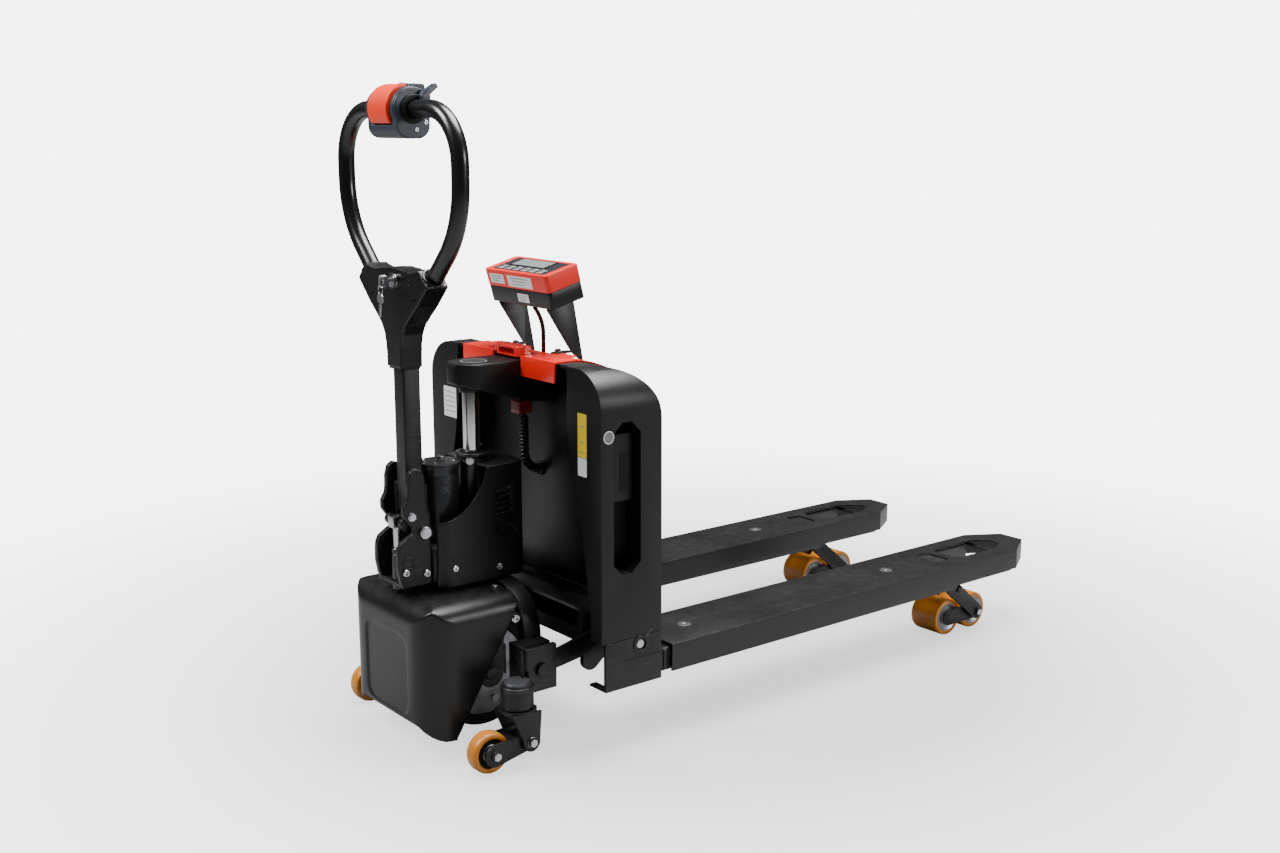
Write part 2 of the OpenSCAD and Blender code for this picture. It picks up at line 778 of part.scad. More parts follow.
// Cross shaft with the arms to the saddle and the lobes of the push rods
module bell_cranks() place() color("#1b1c1d") {
    bar_y(crank_pivot, 11, -half + 1, half - 1);
    reach = saddle_pin - crank_pivot;
    dir = reach / norm(reach);
    near = crank_pivot + 165 * dir;
    far = crank_pivot + 173.2 * dir;
    cross = 9 * [-dir[1], dir[0]];
    for (s = [-1, 1]) on_side(s) {
        slab(187, 195) difference() {
            union() {
                link(crank_pivot, near, 22, 15);
                link(near, far, 15, 15);
                link(crank_pivot, [-96, 146], 22, 20);
            }
            for (p = [near, far]) translate(p) circle(r = 9);
            polygon([near + cross, far + cross, far - cross, near - cross]);
        }
        slab(216, 225) link(crank_pivot, rod_pin_crank, 20, 12);
        bar_y(rod_pin_crank, 6, 225, 243);
    }
}

module push_rods() place() color("#24272a") for (s = [-1, 1]) on_side(s) difference() {
    union() {
        translate([-40, rod_y, rod_z]) rotate([0, 90, 0]) cylinder(r = 5.6, h = 870);
        slab(rod_y - 7, rod_y + 7) {
            for (p = [rod_pin_crank, rod_pin_arm])
                translate([p[0] - 7, rod_z - 5]) square([14, p[1] - rod_z + 5]);
            translate(rod_pin_crank) circle(r = 12);
            translate(rod_pin_arm) circle(r = 10);
        }
    }
    bar_y(rod_pin_crank, 7.6, rod_y - 10, rod_y + 10);
    bar_y(rod_pin_arm, 6.6, rod_y - 10, rod_y + 10);
}

// Arm plates with the outer axle, the rod pin and a cap stud
module roller_arm(s) place() color("#1c1d1e") on_side(s) translate([0, fork_y, 0]) {
    difference() {
        union() {
            for (y = [-49.4, 41.4]) slab(y, y + 8) {
                link(arm_pivot, outer_axle, 17, 16);
                translate(rod_pin_arm) circle(r = 9);
            }
            bar_y(rod_pin_arm, 5, -45, 45);
            bar_y(arm_mark, 8, 45, 56);
        }
        bar_y(arm_pivot, 8 + fit, -60, 60);
    }
    bar_y(outer_axle, 8, -56, 56);
}

// Link plates that hold the inner roller beside the outer one
module link_plates(s) place() color("#1c1d1e") on_side(s) translate([0, fork_y, 0]) {
    difference() {
        for (y = [-40.4, 35.8]) slab(y, y + 4.6) link(inner_axle, outer_axle, 17, 17);
        bar_y(outer_axle, 8 + fit, -60, 60);
    }
    bar_y(inner_axle, 8, -40.9, 40.9);
}

// Load roller: tread on a core with recessed faces
module load_roller(p) translate([0, fork_y, 0]) difference() {
    bar_y(p, roller_d / 2, -roller_w / 2, roller_w / 2);
    bar_y(p, 8 + fit, -50, 50);
    for (y = [-roller_w / 2 - 1, roller_w / 2 - 3]) difference() {
        bar_y(p, 27, y, y + 4);
        bar_y(p, 15, y, y + 4);
    }
}

module inner_roller(s) place() color("#c58320") on_side(s) load_roller(inner_axle);
module outer_roller(s) place() color("#c58320") on_side(s) load_roller(outer_axle);

// ---- nodes ---------------------------------------------------------------------------

saddle();
drive_cover();
caster_housings();
drive_fork();
pump_block();
lift_cylinder();
motor();
pump_cover();
tiller_bracket();
pivot_bolt();
gas_cylinder();
drive_tyre();
drive_hub();
tiller_tube();
y_cover();
handle_loop();
head_housing();
key_lock();
gas_rod();
key();
belly_button();
throttle();
lift_rocker();
horn_button();
caster_yoke(1);  // caster_yoke_left
caster_yoke(-1);  // caster_yoke_right
caster_arm(1);  // caster_arm_left
caster_arm(-1);  // caster_arm_right
caster_wheel(1);  // caster_wheel_left
caster_wheel(-1);  // caster_wheel_right
chassis_frame();
side_housing(1);  // side_housing_left
side_housing(-1);  // side_housing_right
front_panel();
top_arm();
ram();
weigh_shell(1);  // weigh_shell_left
weigh_shell(-1);  // weigh_shell_right
fork_beams();
load_cells();
shell_screws();
battery_pack();
battery_lid();
indicator_brackets();
indicator_base();
indicator_cover();
indicator_cable();
lead_plug();
coiled_lead();
emergency_handle();
bell_cranks();
push_rods();
roller_arm(1);  // roller_arm_left
roller_arm(-1);  // roller_arm_right
link_plates(1);  // link_plates_left
link_plates(-1);  // link_plates_right
inner_roller(1);  // inner_roller_left
inner_roller(-1);  // inner_roller_right
outer_roller(1);  // outer_roller_left
outer_roller(-1);  // outer_roller_right
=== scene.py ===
"""Looks of a powered pallet truck with weighing forks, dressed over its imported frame.

Lengths are in metres, in the frame's own axes: +X to the fork tips, +Y to the left fork, +Z up.
"""

import json
import logging
import math
from dataclasses import dataclass, field
from enum import Enum
from typing import Callable, Iterable, Optional, Sequence

import bmesh
import bpy
from mathutils import Matrix, Vector


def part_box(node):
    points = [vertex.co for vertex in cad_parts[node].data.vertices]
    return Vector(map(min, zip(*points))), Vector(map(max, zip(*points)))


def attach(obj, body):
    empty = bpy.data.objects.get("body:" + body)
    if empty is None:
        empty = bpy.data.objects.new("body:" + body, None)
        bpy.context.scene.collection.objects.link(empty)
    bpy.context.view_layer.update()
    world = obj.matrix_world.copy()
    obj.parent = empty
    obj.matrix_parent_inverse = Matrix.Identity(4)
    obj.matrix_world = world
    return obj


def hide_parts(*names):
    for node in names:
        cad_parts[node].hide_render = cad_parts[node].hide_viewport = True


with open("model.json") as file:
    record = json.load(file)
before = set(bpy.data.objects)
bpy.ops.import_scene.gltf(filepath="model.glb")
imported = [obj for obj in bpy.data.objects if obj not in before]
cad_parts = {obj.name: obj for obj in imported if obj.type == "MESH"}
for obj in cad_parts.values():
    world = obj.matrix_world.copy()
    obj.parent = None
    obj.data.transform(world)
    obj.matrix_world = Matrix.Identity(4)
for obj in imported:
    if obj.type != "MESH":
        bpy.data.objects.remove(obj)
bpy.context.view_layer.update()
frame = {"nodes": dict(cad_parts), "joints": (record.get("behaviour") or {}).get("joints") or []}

logging.basicConfig(level=logging.INFO, format="%(name)s: %(message)s")
log = logging.getLogger("pallet_truck")

Point2 = tuple[float, float]
Colour = tuple[float, float, float]
Point3 = tuple[float, float, float]
Piece = bpy.types.Object
Tree = bpy.types.NodeTree
Socket = bpy.types.NodeSocket
BMesh = bmesh.types.BMesh

UP = (0, 0, 1)
AHEAD = (1, 0, 0)
BACK = (-1, 0, 0)
TINY = 1e-9
NEARLY_STRAIGHT = math.pi - 0.02
WELD_GAP = 2e-6
FLAT_DEGREES = 0.6
VOLUME_SLACK = 0.05
AREA_SLACK = 0.08
SOFTENING_TRIES = ((True, 1.0), (False, 1.0), (True, 0.5), (False, 0.5), (False, 0.25))


# ---- shader groups -----------------------------------------------------------------


def new_group(
    name: str, inputs: Sequence[tuple[str, str, object]], outputs: Sequence[tuple[str, str]],
) -> Tree:
    """Make an empty shader node group with named sockets.

    Args:
        name: the group's name.
        inputs: (name, socket type, default) of each input.
        outputs: (name, socket type) of each output.

    Returns:
        The node tree, with its input and output nodes named "in" and "out".
    """
    tree = bpy.data.node_groups.new(name, "ShaderNodeTree")
    for label, kind, default in inputs:
        socket = tree.interface.new_socket(label, in_out="INPUT", socket_type=kind)
        socket.default_value = default
    for label, kind in outputs:
        tree.interface.new_socket(label, in_out="OUTPUT", socket_type=kind)
    tree.nodes.new("NodeGroupInput").name = "in"
    tree.nodes.new("NodeGroupOutput").name = "out"
    return tree


class Wiring:
    """Short calls for placing and joining the nodes of one tree."""

    def __init__(self, tree: Tree) -> None:
        """Keep the tree.

        Args:
            tree: the node tree to add to.
        """
        self.tree = tree

    def node(self, kind: str, **values: object) -> bpy.types.Node:
        """Add a node.

        Args:
            kind: the node's type.
            **values: attributes to set on it.

        Returns:
            The new node.
        """
        made = self.tree.nodes.new(kind)
        for key, value in values.items():
            setattr(made, key, value)
        return made

    def link(self, source: Socket, target: Socket) -> None:
        """Join an output to an input."""
        self.tree.links.new(source, target)

    def noise(self, vector: Socket, scale: object, detail: float = 3.0) -> Socket:
        """Add noise.

        Args:
            vector: where the noise is read.
            scale: a number or a socket.
            detail: octaves.

        Returns:
            The noise's factor socket.
        """
        texture = self.node("ShaderNodeTexNoise")
        texture.inputs["Detail"].default_value = detail
        if isinstance(scale, (int, float)):
            texture.inputs["Scale"].default_value = scale
        else:
            self.link(scale, texture.inputs["Scale"])
        self.link(vector, texture.inputs["Vector"])
        return texture.outputs["Fac"]

    def ranged(
        self, value: Socket, low: float, high: float, to_low: object = 0.0, to_high: object = 1.0,
    ) -> Socket:
        """Map a value's range to another range, whose ends are numbers or sockets.

        Args:
            value: the value.
            low: where the range starts.
            high: where it ends.
            to_low: what low becomes.
            to_high: what high becomes.

        Returns:
            The mapped value.
        """
        mapper = self.node("ShaderNodeMapRange")
        mapper.inputs["From Min"].default_value = low
        mapper.inputs["From Max"].default_value = high
        for label, end in (("To Min", to_low), ("To Max", to_high)):
            if isinstance(end, (int, float)):
                mapper.inputs[label].default_value = end
            else:
                self.link(end, mapper.inputs[label])
        self.link(value, mapper.inputs["Value"])
        return mapper.outputs["Result"]

    def mixed(self, share: Socket, first: Socket, second: Socket) -> Socket:
        """Mix two colours.

        Args:
            share: how much of the second.
            first: first colour.
            second: second colour.

        Returns:
            The mixed colour.
        """
        mix = self.node("ShaderNodeMix", data_type="RGBA")
        self.link(share, mix.inputs["Factor"])
        self.link(first, mix.inputs["A"])
        self.link(second, mix.inputs["B"])
        return mix.outputs["Result"]


def build_grain_group() -> Tree:
    """Cloudy colour and roughness over a fine moulded or sprayed grain."""
    tree = new_group(
        "surface_grain",
        [
            ("Colour", "NodeSocketColor", (0.02, 0.02, 0.02, 1)),
            ("Second Colour", "NodeSocketColor", (0.03, 0.03, 0.03, 1)),
            ("Cloud Scale", "NodeSocketFloat", 7.0),
            ("Grain Scale", "NodeSocketFloat", 1500.0),
            ("Rough Low", "NodeSocketFloat", 0.35),
            ("Rough High", "NodeSocketFloat", 0.5),
        ],
        [
            ("Colour", "NodeSocketColor"), ("Roughness", "NodeSocketFloat"),
            ("Height", "NodeSocketFloat"),
        ],
    )
    w = Wiring(tree)
    given, out = tree.nodes["in"], tree.nodes["out"]
    place = w.node("ShaderNodeTexCoord").outputs["Object"]
    cloud = w.noise(place, given.outputs["Cloud Scale"], 4.0)
    grain = w.noise(place, given.outputs["Grain Scale"], 1.0)
    w.link(
        w.mixed(w.ranged(cloud, 0.35, 0.68), given.outputs["Colour"], given.outputs["Second Colour"]),
        out.inputs["Colour"],
    )
    w.link(
        w.ranged(cloud, 0.3, 0.7, given.outputs["Rough Low"], given.outputs["Rough High"]),
        out.inputs["Roughness"],
    )
    w.link(grain, out.inputs["Height"])
    return tree


def build_rub_group() -> Tree:
    """Thin rubbed streaks along one axis, as a mask."""
    tree = new_group(
        "rub_streaks",
        [("Scale", "NodeSocketFloat", 40.0), ("Amount", "NodeSocketFloat", 0.2)],
        [("Mask", "NodeSocketFloat")],
    )
    w = Wiring(tree)
    given, out = tree.nodes["in"], tree.nodes["out"]
    place = w.node("ShaderNodeTexCoord").outputs["Object"]
    stretch = w.node("ShaderNodeMapping")
    stretch.inputs["Scale"].default_value = (0.35, 6.0, 6.0)
    w.link(place, stretch.inputs["Vector"])
    streak = w.noise(stretch.outputs["Vector"], given.outputs["Scale"], 6.0)
    patch = w.noise(place, 9.0, 2.0)
    both = w.node("ShaderNodeMath", operation="MULTIPLY")
    w.link(w.ranged(streak, 0.58, 0.75), both.inputs[0])
    w.link(w.ranged(patch, 0.45, 0.7), both.inputs[1])
    level = w.node("ShaderNodeMath", operation="MULTIPLY")
    w.link(both.outputs[0], level.inputs[0])
    w.link(given.outputs["Amount"], level.inputs[1])
    w.link(level.outputs[0], out.inputs["Mask"])
    return tree


def build_dust_group() -> Tree:
    """A light film of dust that settles on faces that look up, as a mask."""
    tree = new_group("dust_film", [("Amount", "NodeSocketFloat", 0.1)], [("Mask", "NodeSocketFloat")])
    w = Wiring(tree)
    given, out = tree.nodes["in"], tree.nodes["out"]
    parts = w.node("ShaderNodeSeparateXYZ")
    w.link(w.node("ShaderNodeNewGeometry").outputs["Normal"], parts.inputs["Vector"])
    place = w.node("ShaderNodeTexCoord").outputs["Object"]
    speck = w.ranged(w.noise(place, 60.0, 5.0), 0.4, 0.75)
    both = w.node("ShaderNodeMath", operation="MULTIPLY")
    w.link(w.ranged(parts.outputs["Z"], 0.3, 1.0), both.inputs[0])
    w.link(speck, both.inputs[1])
    level = w.node("ShaderNodeMath", operation="MULTIPLY")
    w.link(both.outputs[0], level.inputs[0])
    w.link(given.outputs["Amount"], level.inputs[1])
    w.link(level.outputs[0], out.inputs["Mask"])
    return tree


GRAIN_GROUP = build_grain_group()
RUB_GROUP = build_rub_group()
DUST_GROUP = build_dust_group()


# ---- finishes ----------------------------------------------------------------------


@dataclass(frozen=True)
class Finish:
    """One finish: its colours, roughness, grain and how worn it is."""

    name: str
    slot: str
    colour: Colour
    second: Colour
    rough: Point2 = (0.36, 0.5)
    grain_scale: float = 1500.0
    bump: float = 0.12
    cloud_scale: float = 7.0
    metallic: float = 0.0
    coat: float = 0.0
    subsurface: float = 0.0
    rub: float = 0.0
    rub_colour: Colour = (0.25, 0.25, 0.25)
    dust: float = 0.0
    specular: float = 0.5

    def material(self) -> bpy.types.Material:
        """Return the finish's material, made at its first use."""
        found = bpy.data.materials.get(self.name)
        return found or self.make()

    def make(self) -> bpy.types.Material:
        """Build the material's nodes.

        Returns:
            The new material.
        """
        made = bpy.data.materials.new(self.name)
        made.use_nodes = True
        tree = made.node_tree
        w = Wiring(tree)
        shader = tree.nodes["Principled BSDF"]
        grain = w.node("ShaderNodeGroup", node_tree=GRAIN_GROUP)
        for label, value in (
            ("Colour", (*self.colour, 1)),
            ("Second Colour", (*self.second, 1)),
            ("Cloud Scale", self.cloud_scale),
            ("Grain Scale", self.grain_scale),
            ("Rough Low", self.rough[0]),
            ("Rough High", self.rough[1]),
        ):
            grain.inputs[label].default_value = value
        colour = grain.outputs["Colour"]
        if self.rub:
            rub = w.node("ShaderNodeGroup", node_tree=RUB_GROUP)
            rub.inputs["Amount"].default_value = self.rub
            worn = w.node("ShaderNodeRGB")
            worn.outputs[0].default_value = (*self.rub_colour, 1)
            colour = w.mixed(rub.outputs["Mask"], colour, worn.outputs[0])
        if self.dust:
            film = w.node("ShaderNodeGroup", node_tree=DUST_GROUP)
            film.inputs["Amount"].default_value = self.dust
            pale = w.node("ShaderNodeRGB")
            pale.outputs[0].default_value = (0.34, 0.33, 0.31, 1)
            colour = w.mixed(film.outputs["Mask"], colour, pale.outputs[0])
        bump = w.node("ShaderNodeBump")
        bump.inputs["Strength"].default_value = self.bump
        bump.inputs["Distance"].default_value = 0.0004
        w.link(colour, shader.inputs["Base Color"])
        w.link(grain.outputs["Roughness"], shader.inputs["Roughness"])
        w.link(grain.outputs["Height"], bump.inputs["Height"])
        w.link(bump.outputs["Normal"], shader.inputs["Normal"])
        shader.inputs["Metallic"].default_value = self.metallic
        shader.inputs["Specular IOR Level"].default_value = self.specular
        shader.inputs["Coat Weight"].default_value = self.coat
        shader.inputs["Coat Roughness"].default_value = 0.08
        shader.inputs["Subsurface Weight"].default_value = self.subsurface
        shader.inputs["Subsurface Radius"].default_value = (0.006, 0.003, 0.001)
        return made


POWDER = Finish(
    "black_powder_coat", "black_steel", (0.0035, 0.0036, 0.0039), (0.0055, 0.0057, 0.0061),
    (0.33, 0.45), 1300.0, 0.16, rub=0.25, dust=0.03, specular=0.4,
)
FORK_PAINT = Finish(
    "fork_powder_coat", "black_steel", (0.0055, 0.0056, 0.006), (0.0075, 0.0077, 0.0082), (0.3, 0.4),
    1100.0, 0.12, rub=0.22, rub_colour=(0.06, 0.06, 0.063), dust=0.025, specular=0.5,
)
TUBE_PAINT = Finish(
    "loop_gloss_coat", "black_steel", (0.003, 0.0031, 0.0034), (0.0045, 0.0046, 0.005), (0.2, 0.3),
    900.0, 0.07, coat=0.15, specular=0.45,
)
GREY_PAINT = Finish(
    "grey_satin_paint", "grey_steel", (0.011, 0.012, 0.0135), (0.017, 0.0185, 0.02), (0.34, 0.46),
    1200.0, 0.12, rub=0.2, specular=0.4,
)
GUNMETAL = Finish(
    "dark_motor_coat", "black_steel", (0.03, 0.032, 0.035), (0.045, 0.047, 0.05), (0.26, 0.36), 900.0,
    0.08, metallic=0.65,
)
HOUSING = Finish(
    "body_moulding", "black_plastic", (0.004, 0.0041, 0.0044), (0.006, 0.0062, 0.0066), (0.36, 0.46),
    2300.0, 0.2, dust=0.04, specular=0.32,
)
COVER = Finish(
    "cover_moulding", "black_plastic", (0.0032, 0.0033, 0.0035), (0.005, 0.0051, 0.0054), (0.27, 0.38),
    2600.0, 0.14, dust=0.04, specular=0.38,
)
DARK = Finish(
    "recess_dark", "black_plastic", (0.002, 0.002, 0.0022), (0.0035, 0.0035, 0.0037), (0.5, 0.65),
    2000.0, 0.2, specular=0.25,
)
RED = Finish(
    "red_gloss_moulding", "red_plastic", (0.86, 0.016, 0.008), (0.8, 0.012, 0.006), (0.2, 0.3), 2200.0,
    0.05, coat=0.35, specular=0.5,
)
RED_SATIN = Finish(
    "indicator_red", "red_plastic", (0.76, 0.018, 0.009), (0.7, 0.014, 0.007), (0.3, 0.4), 2400.0, 0.1,
    coat=0.1, specular=0.4,
)
ORANGE = Finish(
    "button_orange", "orange_plastic", (0.84, 0.045, 0.012), (0.79, 0.037, 0.01), (0.3, 0.4), 2000.0,
    0.08, specular=0.4,
)
SLATE = Finish(
    "head_slate", "slate_plastic", (0.017, 0.024, 0.036), (0.024, 0.033, 0.047), (0.34, 0.46), 2400.0,
    0.18, specular=0.5,
)
PLUG_RED = Finish(
    "plug_dark_red", "dark_red_plastic", (0.17, 0.012, 0.014), (0.23, 0.017, 0.019), (0.3, 0.42),
    1800.0, 0.12,
)
AMBER = Finish(
    "amber_tread", "amber_polyurethane", (0.56, 0.2, 0.008), (0.44, 0.14, 0.005), (0.28, 0.4), 500.0,
    0.06, cloud_scale=16.0, subsurface=0.12, dust=0.03, specular=0.5,
)
TYRE = Finish(
    "drive_tread", "tyre", (0.008, 0.008, 0.008), (0.014, 0.014, 0.014), (0.6, 0.78), 700.0, 0.35,
    dust=0.12, specular=0.3,
)
ZINC = Finish(
    "zinc_plate", "zinc", (0.6, 0.61, 0.63), (0.5, 0.51, 0.53), (0.24, 0.36), 700.0, 0.05,
    cloud_scale=60.0, metallic=1.0,
)
CHROME = Finish(
    "ram_chrome", "chrome", (0.83, 0.84, 0.86), (0.78, 0.79, 0.81), (0.06, 0.13), 400.0, 0.015,
    cloud_scale=30.0, metallic=1.0,
)
CAST = Finish(
    "cast_hub", "cast", (0.42, 0.43, 0.45), (0.34, 0.35, 0.37), (0.38, 0.52), 500.0, 0.3,
    cloud_scale=40.0, metallic=0.9,
)
CABLE = Finish(
    "cable_jacket", "cable", (0.0035, 0.0035, 0.0038), (0.006, 0.006, 0.0065), (0.3, 0.42), 1500.0,
    0.08, specular=0.4,
)
CAP_GREY = Finish(
    "cap_grey", "black_plastic", (0.024, 0.025, 0.028), (0.034, 0.036, 0.039), (0.4, 0.52), 1600.0,
    0.12, specular=0.35,
)
KEYPAD = Finish(
    "keypad_film", "black_plastic", (0.018, 0.02, 0.024), (0.024, 0.026, 0.03), (0.22, 0.3), 3000.0,
    0.04,
)
KEY_PRINT = Finish(
    "keypad_print", "black_plastic", (0.5, 0.52, 0.55), (0.46, 0.48, 0.5), (0.3, 0.4), 3000.0, 0.03,
)
GLASS_LCD = Finish(
    "display_face", "black_plastic", (0.22, 0.25, 0.245), (0.26, 0.29, 0.285), (0.1, 0.16), 1200.0,
    0.01, coat=0.5,
)
LABEL_WHITE = Finish(
    "label_white", "black_plastic", (0.7, 0.71, 0.72), (0.64, 0.65, 0.66), (0.36, 0.46), 900.0, 0.02,
)
LABEL_YELLOW = Finish(
    "label_yellow", "black_plastic", (0.83, 0.6, 0.02), (0.79, 0.56, 0.015), (0.34, 0.44), 900.0, 0.02,
)
LABEL_GREY = Finish(
    "label_grey", "black_plastic", (0.16, 0.165, 0.17), (0.2, 0.205, 0.21), (0.36, 0.46), 900.0, 0.02,
)


# ---- mesh makers -------------------------------------------------------------------


@dataclass(frozen=True)
class Span:
    """A box in the frame, with its centre and size."""

    low: Vector
    high: Vector

    @staticmethod
    def of(node: str) -> "Span":
        """Return the box of a CAD node."""
        return Span(*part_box(node))

    @property
    def mid(self) -> Vector:
        """The box's centre."""
        return (self.low + self.high) / 2

    @property
    def size(self) -> Vector:
        """The box's three lengths."""
        return self.high - self.low


def fillet(
    points: Sequence[Point2], radius: float, steps: int = 4, closed: bool = False,
) -> list[Point2]:
    """Round the corners of an outline or a profile.

    Args:
        points: the corners.
        radius: fillet radius, made smaller where a side is short.
        steps: segments in each fillet.
        closed: whether the last point joins the first.

    Returns:
        The rounded points.
    """
    made: list[Point2] = []
    count = len(points)
    for i, here in enumerate(points):
        if not closed and i in (0, count - 1):
            made.append(here)
            continue
        p, a, b = Vector(here), Vector(points[i - 1]), Vector(points[(i + 1) % count])
        back, ahead = a - p, b - p
        if back.length < TINY or ahead.length < TINY:
            continue
        turn = back.angle(ahead)
        if turn > NEARLY_STRAIGHT:
            made.append(here)
            continue
        cut = min(radius / math.tan(turn / 2), back.length * 0.49, ahead.length * 0.49)
        start, end = p + back.normalized() * cut, p + ahead.normalized() * cut
        for k in range(steps + 1):
            t = k / steps
            q = start * (1 - t) ** 2 + p * 2 * t * (1 - t) + end * t**2
            made.append((q.x, q.y))
    return made


def rounded_rectangle(width: float, height: float, radius: float, steps: int = 5) -> list[Point2]:
    """Return the outline of a rounded rectangle about the origin."""
    w, h = width / 2, height / 2
    return fillet([(-w, -h), (w, -h), (w, h), (-w, h)], radius, steps, closed=True)


def circle(radius: float, steps: int = 32, centre: Point2 = (0.0, 0.0)) -> list[Point2]:
    """Return a circle as an outline."""
    turn = math.tau / steps
    return [
        (centre[0] + radius * math.cos(i * turn), centre[1] + radius * math.sin(i * turn))
        for i in range(steps)
    ]


def both_ends(profile: Sequence[Point2]) -> list[Point2]:
    """Return a profile joined to its mirror image across height 0."""
    return [*profile, *((r, -z) for r, z in reversed(profile))]


def axes(origin: Vector, out: Sequence[float], across: Sequence[float] = UP) -> Matrix:
    """Return a frame whose local Z is `out` and whose local X is as near `across` as it can be."""
    z = Vector(out).normalized()
    x = Vector(across) - z * Vector(across).dot(z)
    if x.length < 1e-6:
        x = z.orthogonal()
    x.normalize()
    y = z.cross(x)
    turn = Matrix((x, y, z)).transposed().to_4x4()
    return Matrix.Translation(origin) @ turn


def crease(mesh: bpy.types.Mesh, angle: float = 32.0) -> None:
    """Shade a mesh smooth, with sharp edges above an angle in degrees."""
    mesh.polygons.foreach_set("use_smooth", [True] * len(mesh.polygons))
    mesh.set_sharp_from_angle(angle=math.radians(angle))


def bevel_sharp(bm: BMesh, width: float, segments: int, angle: float = 30.0) -> None:
    """Round every edge of a mesh that is sharper than an angle.

    Args:
        bm: the mesh.
        width: the rounding's width.
        segments: its segments.
        angle: smallest angle between faces that is rounded, in degrees.
    """
    limit = math.radians(angle)
    picked = [e for e in bm.edges if len(e.link_faces) == 2 and e.calc_face_angle(0) > limit]
    if picked and width > 0:
        bmesh.ops.bevel(
            bm, geom=picked, offset=width, segments=segments, profile=0.5, affect="EDGES",
            clamp_overlap=True,
        )


def new_object(name: str, bm: BMesh, angle: float = 32.0) -> Piece:
    """Turn a bmesh into a shaded object of the scene.

    Args:
        name: the object's name.
        bm: the mesh, freed here.
        angle: crease angle in degrees.

    Returns:
        The object.
    """
    mesh = bpy.data.meshes.new(name)
    bmesh.ops.recalc_face_normals(bm, faces=bm.faces)
    bm.to_mesh(mesh)
    bm.free()
    crease(mesh, angle)
    made = bpy.data.objects.new(name, mesh)
    bpy.context.scene.collection.objects.link(made)
    return made


def skin(bm: BMesh, rings: Sequence[Sequence[bmesh.types.BMVert]], ends: bool = True) -> None:
    """Join rings of equal length with faces.

    Args:
        bm: the mesh.
        rings: the rings, from one end to the other.
        ends: whether the first and the last ring are closed with a face.
    """
    for a, b in zip(rings, rings[1:]):
        for i, _ in enumerate(a):
            k = (i + 1) % len(a)
            bm.faces.new((a[i], a[k], b[k], b[i]))
    if ends:
        bm.faces.new(list(reversed(rings[0])))
        bm.faces.new(rings[-1])


def prism(
    name: str, outline: Sequence[Point2], depth: float, place: Matrix, edge: float = 0.0,
    segments: int = 3,
) -> Piece:
    """Extrude an outline along its frame's local Z.

    Args:
        name: the object's name.
        outline: corners in the frame's X and Y.
        depth: how far it is extruded.
        place: the frame.
        edge: rounding of the sharp edges.
        segments: segments of that rounding.

    Returns:
        The object.
    """
    bm = bmesh.new()
    skin(bm, [[bm.verts.new((x, y, z)) for x, y in outline] for z in (0, depth)])
    bevel_sharp(bm, edge, segments)
    bmesh.ops.transform(bm, matrix=place, verts=bm.verts)
    return new_object(name, bm)


def lathe(
    name: str, profile: Sequence[Point2], place: Matrix, edge: float = 0.0, steps: int = 56,
) -> Piece:
    """Turn a profile of (radius, height) points about its frame's local Z.

    Args:
        name: the object's name.
        profile: points from one end to the other; radius 0 closes an end, else ends join.
        place: the frame.
        edge: fillet radius of the profile's corners.
        steps: segments around.

    Returns:
        The object.
    """
    shut = profile[0][0] < TINY or profile[-1][0] < TINY
    points = fillet(profile, edge, 3, closed=not shut) if edge else list(profile)
    bm = bmesh.new()
    rings: list[list[bmesh.types.BMVert]] = []
    for radius, height in points:
        if radius < TINY:
            rings.append([bm.verts.new((0, 0, height))])
            continue
        rings.append([bm.verts.new((x, y, height)) for x, y in circle(radius, steps)])
    pairs = list(zip(rings, rings[1:])) + ([] if shut else [(rings[-1], rings[0])])
    for a, b in pairs:
        for i in range(steps):
            k = (i + 1) % steps
            corners = [a[i % len(a)], a[k % len(a)], b[k % len(b)], b[i % len(b)]]
            unique = list(dict.fromkeys(corners))
            if len(unique) > 2:
                bm.faces.new(unique)
    bmesh.ops.transform(bm, matrix=place, verts=bm.verts)
    return new_object(name, bm, 40.0)


def sweep(
    name: str, path: Sequence[Vector], radius: float, sides: int = 20, ends: bool = True,
) -> Piece:
    """Sweep a round section along a path.

    Args:
        name: the object's name.
        path: points of the centreline.
        radius: section radius.
        sides: segments around.
        ends: whether the ends are closed.

    Returns:
        The object.
    """
    bm = bmesh.new()
    rings = []
    normal: Optional[Vector] = None
    for i, point in enumerate(path):
        ahead = (path[min(i + 1, len(path) - 1)] - path[max(i - 1, 0)]).normalized()
        normal = ahead.orthogonal() if normal is None else normal - ahead * normal.dot(ahead)
        normal.normalize()
        side = ahead.cross(normal)
        rings.append([bm.verts.new(point + (normal * x + side * y)) for x, y in circle(radius, sides)])
    skin(bm, rings, ends)
    return new_object(name, bm, 50.0)


def merged(name: str, pieces: Sequence[Piece]) -> Piece:
    """Join objects into one, keeping their materials.

    Args:
        name: the new object's name.
        pieces: the objects, removed here.

    Returns:
        The joined object.
    """
    bm = bmesh.new()
    finishes: list[bpy.types.Material] = []
    for piece in pieces:
        start = len(bm.faces)
        bm.from_mesh(piece.data)
        own = list(piece.data.materials)
        for material in own:
            if material not in finishes:
                finishes.append(material)
        bm.faces.ensure_lookup_table()
        for face in bm.faces[start:]:
            if own:
                face.material_index = finishes.index(own[min(face.material_index, len(own) - 1)])
        bpy.data.objects.remove(piece)
    made = new_object(name, bm, 35.0)
    for material in finishes:
        made.data.materials.append(material)
    return made


def clean(bm: BMesh, flatten: bool) -> None:
    """Weld a mesh's double points and, if asked, join up its flat faces."""
    bmesh.ops.remove_doubles(bm, verts=bm.verts, dist=WELD_GAP)
    if flatten:
        bmesh.ops.dissolve_limit(
            bm, angle_limit=math.radians(FLAT_DEGREES), verts=bm.verts, edges=bm.edges,
        )


